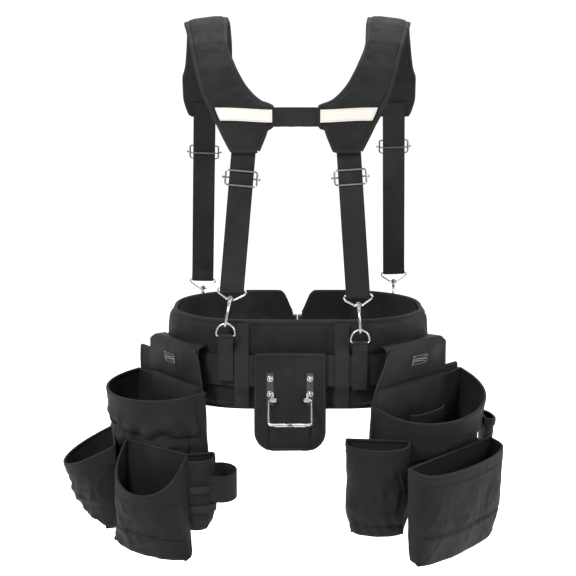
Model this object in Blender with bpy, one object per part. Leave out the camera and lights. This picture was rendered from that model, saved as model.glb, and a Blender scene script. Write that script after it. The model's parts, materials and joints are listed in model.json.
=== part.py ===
"""Padded tool belt with a shoulder harness, two pouches and a hammer holder, in the shape it has when worn.

Metres, +Z up.  The origin is the middle of the lumbar pad's flat inner face.  +X runs along the lumbar pad,
+Y points from the lumbar pad to the wearer, so the front closure is on the +Y side.
"""

import math

import bmesh
import bpy
from mathutils import Matrix, Vector

# ---------------------------------------------------------------- driving dimensions
GAP = 0.0003                 # clearance between pieces that touch

WAIST_WIDTH = 0.391          # padded belt, inside width
WAIST_DEPTH = 0.270          # padded belt, inside depth
WAIST_CORNER = 0.120         # inside radius of the belt's four corners
BELT_HEIGHT = 0.142
PAD_END_GAP = 0.022          # between the two pad ends at the front closure
PAD_END_CUT = 0.020          # length and height of the clipped pad-end corners
PAD_END_CUT_HEIGHT = 0.040
LINING = 0.0016
FOAM = 0.0140
COVER = 0.0032               # cover fabric with its backing

WEBBING_HEIGHT = 0.050       # two-inch waist webbing
WEBBING = 0.0020
WEBBING_MIDDLE = -0.0065     # height of its centre line
WEBBING_STANDOFF = 0.0045    # room behind the webbing for the sleeves that ride on it
SLEEVE = 0.0022              # sleeve and panel fabric
SLIDE_CLEARANCE = 0.0010     # sleeves to webbing

LOOP_WIDTH = 0.0225
LOOP_X = (-0.0905, 0.0690)   # belt loops either side of the hammer holder
LOOP_TOP = 0.069
LOOP_BOTTOM = -0.069

STRAP_WIDTH = 0.038          # one-and-a-half-inch harness webbing
STRAP = 0.0020
TAB_WIDTH = 0.0235           # one-inch webbing of the ring tabs
TAB = 0.0018
RING_WIDTH = TAB_WIDTH + 0.0095
RING_WIRE = 0.0034
RING_HEIGHT = 0.024
RING_STANDOFF = 0.0115       # ring plane, out from the belt's outer face

ADJUSTER_WIDTH = STRAP_WIDTH + 0.014
ADJUSTER_HEIGHT = 0.026
ADJUSTER_WIRE = 0.0030
ADJUSTER_AT = (0.064, 0.058, 0.089, 0.079)      # down each strap, from where it enters the shoulder pad

BAIL_WIDTH = STRAP_WIDTH + 0.010
BAIL_WIRE = 0.0030
HOOK_DROP = 0.056            # strap-end bar to the ring's wire
HOOK_WIRE = 0.0046
HOOK_RADIUS = 0.0065         # centre line of the hook's bend
GATE_WIRE = 0.0026
COLLAR = 0.0042              # swivel eye: its radius, and how far it is from the bar
COLLAR_TOP = 0.0135
COLLAR_BOTTOM = 0.0185
NECK = 0.0016                # radius of the hook's neck, which turns in the eye
BAR_CLEARANCE = 0.0006       # round each wire that turns or slides in another piece

HAMMER_X = -0.0135
HAMMER_WIDTH = 0.113
HAMMER_TOP = 0.0225
HAMMER_BOTTOM = -0.1345
HAMMER_CORNER = 0.028
HAMMER_PANEL = 0.0040
HAMMER_PIVOT = -0.0520       # height of the steel loop's hinge
HAMMER_PIVOT_SPREAD = 0.0632
HAMMER_ROD = 0.0045
HAMMER_REACH = 0.046         # hinge to bar
HAMMER_DROOP = 45            # degrees below level, as it hangs
RIVET = 0.0100

YOKE_X = -0.004              # middle of the yoke at the back
YOKE_DRIFT = 0.027           # its middle's shift to +X for each metre towards the front
PAD = 0.0100                 # shoulder pad thickness
CONNECTOR_HALF = 0.0354      # half the width of the band between the pads
REFLECTOR = 0.0010
REFLECTOR_TALL = 0.0190
REFLECTOR_MIDDLE = 0.3960    # its height
PAD_BORDER = 0.0070          # bound edge left uncovered beside it

BUCKLE_LENGTH = 0.078
BUCKLE_HEIGHT = 0.062
BUCKLE = 0.0120
BUCKLE_GRIP = 0.0120         # length of webbing inside each half

POUCH_WALL = 0.0022
POUCH_TUNNEL_TOP = 0.032
POUCH_TUNNEL_BOTTOM = -0.050

BELT = LINING + GAP + FOAM + GAP + COVER
ARC_X = WAIST_WIDTH / 2 - WAIST_CORNER           # centres of the belt's corner arcs
ARC_Y = WAIST_CORNER
OUTER_RADIUS = WAIST_CORNER + BELT
WEBBING_INNER = BELT + WEBBING_STANDOFF          # offsets from the belt's inside face
WEBBING_OUTER = WEBBING_INNER + WEBBING
BACK_OUTER = -BELT                               # Y of the lumbar pad's outer face
FRONT_OUTER = WAIST_DEPTH + BELT                 # Y of the front pads' outer face
WEBBING_TOP = WEBBING_MIDDLE + WEBBING_HEIGHT / 2
WEBBING_BOTTOM = WEBBING_MIDDLE - WEBBING_HEIGHT / 2

CANVAS = (0.030, 0.030, 0.032)
WEB_COLOUR = (0.022, 0.022, 0.024)
LINING_COLOUR = (0.045, 0.046, 0.050)
FOAM_COLOUR = (0.18, 0.18, 0.19)
STEEL_COLOUR = (0.62, 0.62, 0.64)
REFLECTIVE_COLOUR = (0.78, 0.74, 0.70)
PLASTIC_COLOUR = (0.015, 0.015, 0.016)


# ---------------------------------------------------------------- scene and materials
def clear_scene():
    for item in list(bpy.data.objects):
        bpy.data.objects.remove(item, do_unlink=True)


def material(name, colour, roughness, metallic=0.0):
    made = bpy.data.materials.new(name)
    made.use_nodes = True
    shader = made.node_tree.nodes["Principled BSDF"]
    shader.inputs["Base Color"].default_value = (*colour, 1.0)
    shader.inputs["Roughness"].default_value = roughness
    shader.inputs["Metallic"].default_value = metallic
    made.diffuse_color = (*colour, 1.0)
    return made


def finish(bm, name, finish_material, smooth=None):
    """Turns a bmesh into a named object; smooth is the angle, in degrees, above which an edge stays sharp."""
    bmesh.ops.recalc_face_normals(bm, faces=bm.faces)
    mesh = bpy.data.meshes.new(name)
    bm.to_mesh(mesh)
    bm.free()
    mesh.materials.append(finish_material)
    if smooth is not None:
        mesh.shade_smooth()
        mesh.set_sharp_from_angle(angle=math.radians(smooth))
    made = bpy.data.objects.new(name, mesh)
    bpy.context.scene.collection.objects.link(made)
    return made


def set_origin(made, point):
    """Moves the object's origin to a point, such as its joint's, and leaves its shape where it is."""
    made.data.transform(Matrix.Translation(-Vector(point)))
    made.location = point
    return made


# ---------------------------------------------------------------- shapes
def loft(bm, rings, closed=False):
    """Joins rings of equal length with quads.  An open loft gets an end face on its first and last ring."""
    made = [[bm.verts.new(point) for point in ring] for ring in rings]
    pairs = list(zip(made, made[1:]))
    if closed:
        pairs.append((made[-1], made[0]))
    for one, two in pairs:
        for i in range(len(one)):
            j = (i + 1) % len(one)
            bm.faces.new((one[i], one[j], two[j], two[i]))
    if not closed:
        bm.faces.new(made[0][::-1])
        bm.faces.new(made[-1])
    return made


def tangents(points, closed):
    count = len(points)
    found = []
    for i in range(count):
        before = points[i - 1] if (closed or i > 0) else points[i]
        after = points[(i + 1) % count] if (closed or i < count - 1) else points[i]
        found.append((after - before).normalized())
    return found


def tube(bm, points, radius, sides=8, closed=False, normal=(0, 0, 1)):
    """A round bar along points in one plane; radius is one value or one for each point."""
    points = [Vector(point) for point in points]
    radii = radius if isinstance(radius, (list, tuple)) else [radius] * len(points)
    across = Vector(normal).normalized()
    rings = []
    for point, along, size in zip(points, tangents(points, closed), radii):
        side = across.cross(along).normalized()
        turns = [2 * math.pi * k / sides for k in range(sides)]
        rings.append([point + size * (math.cos(a) * side + math.sin(a) * across) for a in turns])
    return loft(bm, rings, closed)


def ribbon(bm, points, width_axis, width, thickness, face):
    """A flat strap along points.  width_axis is its width direction, face roughly the way its front faces."""
    points = [Vector(point) for point in points]
    across = Vector(width_axis).normalized()
    rings = []
    lengths = tangents(points, False)
    for i, (point, along) in enumerate(zip(points, lengths)):
        out = along.cross(across).normalized()
        if i == 0 and out.dot(Vector(face)) < 0:
            across = -across
        out = along.cross(across).normalized()
        stretch = 1.0
        if 0 < i < len(points) - 1:
            stretch = 1.0 / max(0.5, along.dot((points[i + 1] - point).normalized()))
        half = across * width / 2
        rise = out * thickness / 2 * stretch
        rings.append([point - half - rise, point + half - rise, point + half + rise, point - half + rise])
    return loft(bm, rings)


def slab(bm, outline, low, high, place):
    """A plate: an outline of (a, b) pairs, between low and high; place turns (a, b, c) into a point."""
    return loft(bm, [[place(a, b, low) for a, b in outline], [place(a, b, high) for a, b in outline]])


def plan(x, y, z):
    return Vector((x, y, z))


def upright(x, z, y):
    return Vector((x, y, z))


def rounded_corner(centre, radius, start, end, steps):
    """Points of an arc, angles in degrees from +X."""
    angles = [math.radians(start + (end - start) * k / steps) for k in range(steps + 1)]
    return [(centre[0] + radius * math.cos(a), centre[1] + radius * math.sin(a)) for a in angles]


def add_boolean(base, bm, operation):
    """Joins a closed bmesh to an object, or cuts it away, with a Boolean modifier."""
    number = len(base.modifiers)
    other = finish(bm, f"{base.name}_piece{number}", base.data.materials[0])
    other.hide_render = True
    other.display_type = "WIRE"
    made = base.modifiers.new(f"boolean{number}", "BOOLEAN")
    made.operation = operation
    made.solver = "EXACT"
    made.object = other


def join_bodies(parts, name, made_of, operation="UNION", smooth=None):
    """Boolean union, or difference, of closed meshes into one named object."""
    base = finish(parts[0], name, made_of, smooth)
    for extra in parts[1:]:
        add_boolean(base, extra, operation)
    return base


# ---------------------------------------------------------------- the padded belt
def belt_outline(offset, arc_steps=9):
    """The belt's plan outline, offset outwards from its inside face, from the left front end round the back
    to the right front end, as (point, outward normal) pairs."""
    corners = [(-ARC_X, WAIST_DEPTH - ARC_Y, 90, 180), (-ARC_X, ARC_Y, 180, 270),
               (ARC_X, ARC_Y, 270, 360), (ARC_X, WAIST_DEPTH - ARC_Y, 0, 90)]
    found = []
    for x, y, start, end in corners:
        for k in range(arc_steps + 1):
            angle = math.radians(start + (end - start) * k / arc_steps)
            normal = Vector((math.cos(angle), math.sin(angle)))
            found.append((Vector((x, y)) + normal * (WAIST_CORNER + offset), normal))
    return found


def belt_rings(inner, outer, low, high, end_gap, cut, edge=0.0):
    """Sections of a strip that follows the belt; its two ends have clipped corners, and may have thick edges."""
    near = [point for point, _ in belt_outline(inner)]
    far = [point for point, _ in belt_outline(outer)]
    half = end_gap / 2
    cut_long, cut_high = cut
    ends = [(half, cut_high), (half + cut_long, 0.0)] if cut_long else [(half, 0.0)]
    stations = [(Vector((-x, near[0].y)), Vector((-x, far[0].y)), drop) for x, drop in ends]
    stations += [(a, b, 0.0) for a, b in zip(near, far)]
    stations += [(Vector((x, near[-1].y)), Vector((x, far[-1].y)), drop) for x, drop in reversed(ends)]
    rings = []
    for a, b, drop in stations:
        bottom, top = low + drop, high - drop
        if not edge:
            rings.append([(a.x, a.y, bottom), (b.x, b.y, bottom), (b.x, b.y, top), (a.x, a.y, top)])
            continue
        m = b + (a - b).normalized() * COVER
        rings.append([(a.x, a.y, bottom), (b.x, b.y, bottom), (b.x, b.y, top), (a.x, a.y, top),
                      (a.x, a.y, top - edge), (m.x, m.y, top - edge),
                      (m.x, m.y, bottom + edge), (a.x, a.y, bottom + edge)])
    return rings


def make_belt(canvas, lining, foam, webbing):
    half = BELT_HEIGHT / 2
    cut = (PAD_END_CUT, PAD_END_CUT_HEIGHT)

    bm = bmesh.new()
    loft(bm, belt_rings(LINING + GAP, BELT, -half, half, PAD_END_GAP, cut, edge=COVER))
    finish(bm, "belt_outer_cover", canvas, 30)

    inset = COVER + GAP
    bm = bmesh.new()
    loft(bm, belt_rings(LINING + GAP, LINING + GAP + FOAM, -half + inset, half - inset, PAD_END_GAP, cut))
    finish(bm, "belt_foam_core", foam, 30)

    bm = bmesh.new()
    loft(bm, belt_rings(0.0, LINING, -half, half, PAD_END_GAP, cut))
    finish(bm, "belt_inner_lining", lining, 30)

    bm = bmesh.new()
    gap = BUCKLE_LENGTH - 2 * BUCKLE_GRIP + 0.001
    loft(bm, belt_rings(WEBBING_INNER, WEBBING_OUTER, WEBBING_BOTTOM, WEBBING_TOP, gap, (0.0, 0.0)))
    finish(bm, "waist_webbing", webbing, 30)


def make_belt_loops(webbing):
    """Upright webbing strips sewn to the pad above and below the waist webbing, which passes under them."""
    flat = BACK_OUTER - GAP - TAB / 2
    proud = -WEBBING_OUTER - GAP - TAB
    for side, x in zip(("left", "right"), LOOP_X):
        points = [(x, flat, LOOP_TOP), (x, flat, WEBBING_TOP + 0.014), (x, proud, WEBBING_TOP + 0.003),
                  (x, proud, WEBBING_BOTTOM - 0.003), (x, flat, WEBBING_BOTTOM - 0.014), (x, flat, LOOP_BOTTOM)]
        bm = bmesh.new()
        ribbon(bm, points, (1, 0, 0), LOOP_WIDTH, TAB, (0, -1, 0))
        finish(bm, f"belt_loop_{side}", webbing, 30)


# ---------------------------------------------------------------- the four strap ends
class StrapEnd:
    """Where one harness strap meets the belt: face is -1 at the back of the belt and +1 at its front."""

    def __init__(self, name, face, top, bar, lean, tab_bottom, back_length):
        self.name = name
        self.face = face
        self.top = Vector(top)              # middle of the strap where it leaves the shoulder pad
        self.bar = Vector(bar)              # middle of the bar in the strap's end loop
        drop = math.sqrt(HOOK_DROP ** 2 - lean ** 2)
        self.ring = self.bar + Vector((lean, 0, -drop))      # top of the ring's wire, where the hook hangs
        self.pivot = self.ring - Vector((0, 0, RING_HEIGHT - RING_WIRE))
        self.tab_bottom = tab_bottom
        self.back_length = back_length      # how far the strap's folded end comes back up

    def strap_frame(self):
        """Down the strap, out from the wearer, and across the strap towards +X."""
        down = (self.bar - self.top).normalized()
        out = Vector((0, self.face, 0))
        out = (out - down * out.dot(down)).normalized()
        across = out.cross(down) if self.face > 0 else down.cross(out)
        return down, out, across.normalized()

    def hook_frame(self):
        """The same for the hook, whose line runs from the strap-end bar to the ring."""
        down = (self.ring - self.bar).normalized()
        out = Vector((0, self.face, 0))
        out = (out - down * out.dot(down)).normalized()
        across = out.cross(down) if self.face > 0 else down.cross(out)
        return down, out, across.normalized()

    def on_strap(self, x, out, down):
        along, outward, across = self.strap_frame()
        return self.bar + across * x + outward * out + along * down

    def local(self, x, out, down):
        along, outward, across = self.hook_frame()
        return self.bar + across * x + outward * out + along * down


def strap_ends():
    back = BACK_OUTER - RING_STANDOFF
    front = FRONT_OUTER + RING_STANDOFF
    return [
        StrapEnd("back_left", -1, (-0.0838, -0.0125, 0.3620), (-0.1045, back, 0.1255), -0.0105, -0.022, 0.120),
        StrapEnd("back_right", -1, (0.0764, -0.0125, 0.3580), (0.0930, back, 0.1160), 0.0040, -0.037, 0.110),
        StrapEnd("front_left", 1, (-0.1590, 0.2305, 0.4040), (-0.1690, front, 0.0880), 0.0, -0.060, 0.150),
        StrapEnd("front_right", 1, (0.1640, 0.2305, 0.4040), (0.1720, front, 0.1000), 0.0, -0.060, 0.160),
    ]


def make_strap(end, webbing):
    """Single webbing from the pad down to the hook's bar, round it, and back up behind itself."""
    down, out, across = end.strap_frame()
    loop = BAIL_WIRE / 2 + BAR_CLEARANCE + STRAP / 2
    points = [end.top + out * loop, end.bar - down * 0.004 + out * loop]
    for k in range(1, 8):
        angle = math.pi * k / 8
        points.append(end.bar + out * loop * math.cos(angle) + down * loop * math.sin(angle))
    points.append(end.bar - down * 0.004 - out * loop)
    pinch = -down * 0.014 + out * (loop - STRAP - 0.0005)
    points.append(end.bar + pinch)
    points.append(end.bar + pinch - down * (end.back_length - 0.014))
    bm = bmesh.new()
    ribbon(bm, points, across, STRAP_WIDTH, STRAP, (0, end.face, 0))
    finish(bm, f"strap_{end.name}", webbing, 30)


def make_adjuster(end, steel, at):
    """Wire slide: two outer bars in front of the strap and one bar with ball ends behind it.
    at is its distance down the strap from the end of the pad."""
    down, out, across = end.strap_frame()
    loop = BAIL_WIRE / 2 + BAR_CLEARANCE + STRAP / 2
    radius = ADJUSTER_WIRE / 2
    centre = end.top + down * at + out * loop
    front = STRAP / 2 + BAR_CLEARANCE + radius
    wide, tall = ADJUSTER_WIDTH / 2 - radius, ADJUSTER_HEIGHT / 2 - radius
    corner = 0.004
    outline = []
    for x, z, start in ((wide, tall, 0), (-wide, tall, 90), (-wide, -tall, 180), (wide, -tall, 270)):
        sx, sz = math.copysign(1, x), math.copysign(1, z)
        outline += rounded_corner((x - sx * corner, z - sz * corner), corner, start, start + 90, 3)
    frame = bmesh.new()
    tube(frame, [centre + across * a - down * b + out * front for a, b in outline], radius, 8, True, out)
    bar = bmesh.new()
    reach = ADJUSTER_WIDTH / 2 + 0.0022
    path = [(-reach, front), (-wide + 0.0005, front * 0.75), (-wide + 0.0022, -front), (wide - 0.0022, -front),
            (wide - 0.0005, front * 0.75), (reach, front)]
    tube(bar, [centre + across * a + out * b for a, b in path], radius * 0.92, 8, False, down)
    pieces = [frame, bar]
    for side in (-1, 1):
        ball = bmesh.new()
        bmesh.ops.create_uvsphere(ball, u_segments=8, v_segments=6, radius=radius * 1.35)
        bmesh.ops.translate(ball, verts=ball.verts, vec=centre + across * side * reach + out * front)
        pieces.append(ball)
    join_bodies(pieces, f"adjuster_{end.name}", steel, smooth=50)


def make_ring_tab(end, webbing):
    """Webbing folded over the ring's straight bar and sewn down over the waist webbing."""
    x, y, z = end.pivot
    face = end.face
    inside = WAIST_DEPTH if face > 0 else 0.0
    fold = RING_WIRE / 2 + BAR_CLEARANCE + TAB / 2
    layer = TAB / 2 + 0.0002
    over_webbing = inside + face * (WEBBING_OUTER + GAP + TAB)
    on_pad = inside + face * (BELT + GAP + TAB / 2)
    points = [(x, y - face * layer, z - 0.0135)]
    for k in range(11):
        angle = math.radians(250 - 320 * k / 10)
        points.append((x, y + face * fold * math.cos(angle), z + fold * math.sin(angle)))
    points.append((x, y + face * layer, z - 0.008))
    points.append((x, over_webbing, WEBBING_TOP - 0.002 if z > WEBBING_TOP + 0.012 else z - 0.020))
    if end.tab_bottom < WEBBING_BOTTOM - 0.014:
        points += [(x, over_webbing, WEBBING_BOTTOM - 0.003), (x, on_pad, WEBBING_BOTTOM - 0.014),
                   (x, on_pad, end.tab_bottom)]
    else:
        points.append((x, over_webbing, end.tab_bottom))
    bm = bmesh.new()
    ribbon(bm, points, (1, 0, 0), TAB_WIDTH, TAB, (0, -face, 0))
    finish(bm, f"ring_tab_{end.name}", webbing, 30)


def make_ring(end, steel):
    """D-shaped wire ring, its straight bar in the tab's fold."""
    half = RING_WIDTH / 2 - RING_WIRE / 2
    rise = RING_HEIGHT - RING_WIRE
    x, y, z = end.pivot
    shift = end.ring.x - end.pivot.x
    arc = rounded_corner((0.0, rise - half), half, 0, 180, 12)
    outline = [(half, 0.0020), *arc, (-half, 0.0020), (-half + 0.0020, 0.0), (half - 0.0020, 0.0)]
    bm = bmesh.new()
    tube(bm, [(x + shift + a, y, z + b) for a, b in outline], RING_WIRE / 2, 8, True, (0, 1, 0))
    set_origin(finish(bm, f"d_ring_{end.name}", steel, 50), end.pivot)


def make_hook(end, steel):
    """Swivel snap: a wire bail in the strap's loop, a hook that turns in it, and the hook's sprung gate."""
    wire = BAIL_WIRE / 2
    half = BAIL_WIDTH / 2 - wire
    frame = bmesh.new()
    sides = [(half - 0.0015, 0.0), (half, 0.0030), (half - 0.002, 0.0070)]
    eye = [(0.0080, 0.0150), (0.0028, 0.0160)]
    points = [end.local(-x, 0, down) for x, down in reversed(eye)]
    points += [end.on_strap(-x, 0, down) for x, down in reversed(sides)]
    points += [end.on_strap(x, 0, down) for x, down in sides]
    points += [end.local(x, 0, down) for x, down in eye]
    tube(frame, points, wire, 8, False, end.hook_frame()[1])
    ring = bmesh.new()
    rings = []
    turns = [2 * math.pi * k / 16 for k in range(16)]
    for size, down in ((COLLAR, COLLAR_TOP), (COLLAR, COLLAR_BOTTOM), (NECK + BAR_CLEARANCE, COLLAR_BOTTOM),
                       (NECK + BAR_CLEARANCE, COLLAR_TOP)):
        rings.append([end.local(size * math.cos(a), size * math.sin(a), down) for a in turns])
    loft(ring, rings, closed=True)
    pieces = [frame, ring]
    for side in (-1, 1):
        ball = bmesh.new()
        bmesh.ops.create_uvsphere(ball, u_segments=8, v_segments=6, radius=0.0024)
        bmesh.ops.translate(ball, verts=ball.verts, vec=end.local(side * 0.0058, 0, 0.0162))
        pieces.append(ball)
    set_origin(join_bodies(pieces, f"hook_bail_{end.name}", steel, smooth=50), end.bar)

    bend = HOOK_RADIUS
    rod = HOOK_WIRE / 2
    centre = HOOK_DROP + RING_WIRE / 2 + 0.0012 + rod - bend
    head = COLLAR_TOP - BAR_CLEARANCE
    shoulder = COLLAR_BOTTOM + BAR_CLEARANCE
    spine = [(0.0, head - 0.0016, 0.0028), (0.0, head, 0.0030), (0.0, head + 0.00005, NECK),
             (0.0, shoulder, NECK), (0.0, shoulder + 0.00005, 0.0034), (0.0, 0.0262, 0.0034),
             (0.0008, 0.0276, rod), (0.0034, 0.0318, rod), (bend, 0.0370, rod)]
    arc = [(bend * math.cos(math.pi * k / 8), centre + bend * math.sin(math.pi * k / 8), rod) for k in range(9)]
    path = spine + arc + [(-bend, centre - 0.0045, rod * 0.9)]
    bm = bmesh.new()
    across = end.hook_frame()[2]
    tube(bm, [end.local(0, out, down) for out, down, _ in path], [size for _, _, size in path], 10, False, across)
    set_origin(finish(bm, f"hook_{end.name}", steel, 50), end.local(0, 0, 0.016))

    pin = end.local(0, -0.0034, 0.0300)
    tip = centre - 0.0045 - GAP - 0.0010
    bm = bmesh.new()
    path = [(-0.0026, 0.0284), (-0.0040, 0.0312), (-bend, 0.0368), (-bend, tip)]
    tube(bm, [end.local(0, out, down) for out, down in path], GATE_WIRE / 2, 8, False, across)
    set_origin(finish(bm, f"hook_gate_{end.name}", steel, 50), pin)


# ---------------------------------------------------------------- the hammer holder
def hammer_outline(inset=0.0, top=HAMMER_TOP):
    half = HAMMER_WIDTH / 2 - inset
    low = HAMMER_BOTTOM + inset
    radius = HAMMER_CORNER - inset
    left = rounded_corner((-half + radius, low + radius), radius, 180, 270, 5)
    right = rounded_corner((half - radius, low + radius), radius, 270, 360, 5)
    return [(HAMMER_X + x, z) for x, z in [(-half, top), *left, *right, (half, top)]]


def make_hammer_holder(canvas, steel):
    back = -WEBBING_OUTER - SLIDE_CLEARANCE
    face = back - HAMMER_PANEL
    bm = bmesh.new()
    slab(bm, hammer_outline(), face, back, upright)
    finish(bm, "hammer_holder_panel", canvas, 30)

    bm = bmesh.new()
    lean = -BELT - (WEBBING_STANDOFF - SLEEVE) / 2 - SLEEVE / 2
    start = back + GAP
    top = HAMMER_TOP - SLEEVE / 2
    base = WEBBING_BOTTOM - 0.008
    points = [(HAMMER_X, start, top), (HAMMER_X, lean - 0.0008, top), (HAMMER_X, lean, top - 0.0008),
              (HAMMER_X, lean, base + 0.0008), (HAMMER_X, lean - 0.0008, base), (HAMMER_X, start, base)]
    ribbon(bm, points, (1, 0, 0), HAMMER_WIDTH - 0.006, SLEEVE, (0, 0, 1))
    finish(bm, "hammer_holder_sleeve", canvas, 30)

    pivot_y = face - GAP - 0.0042
    for side, sign in (("left", -1), ("right", 1)):
        x = HAMMER_X + sign * HAMMER_PIVOT_SPREAD / 2
        plate = bmesh.new()
        outline = [(x - 0.0045, -0.0125), (x - 0.0045, HAMMER_PIVOT), (x + 0.0045, HAMMER_PIVOT), (x + 0.0045, -0.0125)]
        slab(plate, outline, face - GAP - 0.0014, face - GAP, upright)
        barrel = bmesh.new()
        rings = []
        turns = [2 * math.pi * k / 14 for k in range(14)]
        hole = HAMMER_ROD / 2 + 0.0004
        for size, inward in ((0.0040, 0.0095), (0.0040, 0.0010), (hole, 0.0010), (hole, 0.0095)):
            rings.append([(x - sign * inward, pivot_y + size * math.cos(a), HAMMER_PIVOT + size * math.sin(a))
                          for a in turns])
        loft(barrel, rings, closed=True)
        pieces = [plate, barrel]
        for z in (-0.0180, -0.0430):
            dome = bmesh.new()
            rings = []
            for size, rise in ((1.0, 0.0), (0.95, 0.0010), (0.70, 0.0022), (0.30, 0.0028)):
                rings.append([(x + RIVET / 2 * size * math.cos(a), face - GAP - 0.0010 - rise,
                               z + RIVET / 2 * size * math.sin(a)) for a in turns])
            loft(dome, rings)
            pieces.append(dome)
        join_bodies(pieces, f"rivet_clip_{side}", steel, smooth=40)

    bm = bmesh.new()
    droop = math.radians(HAMMER_DROOP)
    leg = HAMMER_PIVOT_SPREAD / 2 + 0.0024
    bend = 0.004
    flat = [(leg - 0.0130, 0.0), (leg - 0.0022, 0.0), (leg - 0.0006, 0.0008), (leg, 0.0026),
            (leg, HAMMER_REACH - bend), (leg - bend * 0.3, HAMMER_REACH - bend * 0.3), (leg - bend, HAMMER_REACH)]
    flat += [(-x, reach) for x, reach in reversed(flat)]
    points = [(HAMMER_X + x, pivot_y - reach * math.cos(droop), HAMMER_PIVOT - reach * math.sin(droop))
              for x, reach in flat]
    tube(bm, points, HAMMER_ROD / 2, 10, False, (0, math.sin(droop), -math.cos(droop)))
    made = finish(bm, "hammer_loop", steel, 50)
    set_origin(made, (HAMMER_X, pivot_y, HAMMER_PIVOT))


# ---------------------------------------------------------------- the yoke
PAD_TIP, PAD_TIP_HALF = 0.340, 0.060          # height of the back tip, and its inner edge from the middle
BAND_LOW, BAND_HIGH = 0.379, 0.4085           # heights of the centre band's edges
BAND_TAPER = 0.017                            # how far the inner edge closes in from the tip to the band
NECK_HALF, NECK_TOP = 0.115, 0.540            # half width and height of the neck opening at the shoulder
NECK_POWER = 1.7                              # 2 would make the neckline an ellipse


def tip_edge(height):
    """The pad's inner edge below the centre band: a straight line."""
    return PAD_TIP_HALF - BAND_TAPER * (height - PAD_TIP) / (BAND_LOW - PAD_TIP)


def neckline(height):
    """The pad's inner edge above the centre band: a quarter of a super-ellipse."""
    fall = min(1.0, (NECK_TOP - height) / (NECK_TOP - BAND_HIGH))
    return CONNECTOR_HALF + (NECK_HALF - CONNECTOR_HALF) * (1 - fall ** NECK_POWER) ** (1 / NECK_POWER)


# Rows of a shoulder pad from its back tip, over the shoulder, to its front tip:
# Y, Z, and the distances of its inner and outer edges from the yoke's middle.
PAD_ROWS = [
    (-0.0240, PAD_TIP, PAD_TIP_HALF, 0.0990),
    (-0.0222, 0.3640, tip_edge(0.3640), 0.1120),
    (-0.0210, 0.3780, tip_edge(0.3780), 0.1190),
    (-0.0209, BAND_LOW, CONNECTOR_HALF, 0.1195),
    (-0.0185, 0.3940, CONNECTOR_HALF, 0.1280),
    (-0.0155, BAND_HIGH, CONNECTOR_HALF, 0.1345),
    (-0.0140, 0.4140, neckline(0.4140), 0.1370),
    (-0.0090, 0.4320, neckline(0.4320), 0.1450),
    (-0.0035, 0.4500, neckline(0.4500), 0.1500),
    (0.0020, 0.4690, neckline(0.4690), 0.1545),
    (0.0220, 0.5080, neckline(0.5080), 0.1640),
    (0.0550, 0.5350, 0.1130, 0.1730),
    (0.0850, 0.5440, 0.1150, 0.1780),
    (0.1150, 0.5440, 0.1150, 0.1790),
    (0.1500, 0.5350, 0.1140, 0.1800),
    (0.1850, 0.5100, 0.1140, 0.1840),
    (0.2100, 0.4780, 0.1150, 0.1890),
    (0.2270, 0.4450, 0.1170, 0.1960),
    (0.2370, 0.4150, 0.1190, 0.1960),
    (0.2440, 0.3930, 0.1270, 0.1910),
    (0.2470, 0.3820, 0.1430, 0.1860),
]


def pad_frames(rows):
    """(point, outward normal) of each row, in the Y-Z plane."""
    points = [Vector((0, row[0], row[1])) for row in rows]
    frames = []
    for point, along in zip(points, tangents(points, False)):
        frames.append((point, Vector((0, -along.z, along.y))))
    return frames


def pad_row_at(height):
    """The row of the pad's back half at a height, between its neighbours."""
    for one, two in zip(PAD_ROWS, PAD_ROWS[1:]):
        if one[1] <= height <= two[1]:
            share = (height - one[1]) / (two[1] - one[1])
            return tuple(a + (b - a) * share for a, b in zip(one, two))
    return PAD_ROWS[0]


def row_ring(side, point, normal, inner, outer, low, high):
    """Section of a strip on the pad, shoulder sloping away from the neck."""
    ring = []
    for x, rise in ((inner, low), (outer, low), (outer, high), (inner, high)):
        slope = Vector((0, 0, -0.12 * (x - 0.115))) if point.z > 0.45 else Vector()
        place = point + normal * rise + slope
        ring.append(Vector((YOKE_X + YOKE_DRIFT * max(0.0, point.y) + side * x, place.y, place.z)))
    return ring


def make_yoke(canvas, webbing, reflective):
    frames = pad_frames(PAD_ROWS)
    for name, side in (("left", -1), ("right", 1)):
        bm = bmesh.new()
        loft(bm, [row_ring(side, point, normal, row[2], row[3], -PAD / 2, PAD / 2)
                  for (point, normal), row in zip(frames, PAD_ROWS)])
        finish(bm, f"shoulder_pad_{name}", canvas, 30)

        bm = bmesh.new()
        base = PAD / 2 + GAP
        rings = []
        for height in (REFLECTOR_MIDDLE - REFLECTOR_TALL / 2, REFLECTOR_MIDDLE, REFLECTOR_MIDDLE + REFLECTOR_TALL / 2):
            row = pad_row_at(height)
            rings.append(row_ring(side, Vector((0, row[0], row[1])), frames[4][1], CONNECTOR_HALF + 0.002,
                                  row[3] - PAD_BORDER, base, base + REFLECTOR))
        loft(bm, rings)
        finish(bm, f"reflective_strip_{name}", reflective, 30)

    bm = bmesh.new()
    half = CONNECTOR_HALF - GAP
    rings = []
    for x in (-half, 0.0, half):
        low, high = (frames[3][0], frames[5][0])
        rings.append([(YOKE_X + x, low.y - 0.0020, low.z), (YOKE_X + x, low.y + 0.0010, low.z),
                      (YOKE_X + x, high.y + 0.0010, high.z), (YOKE_X + x, high.y - 0.0020, high.z)])
    loft(bm, rings)
    finish(bm, "yoke_centre_band", webbing, 30)


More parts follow.
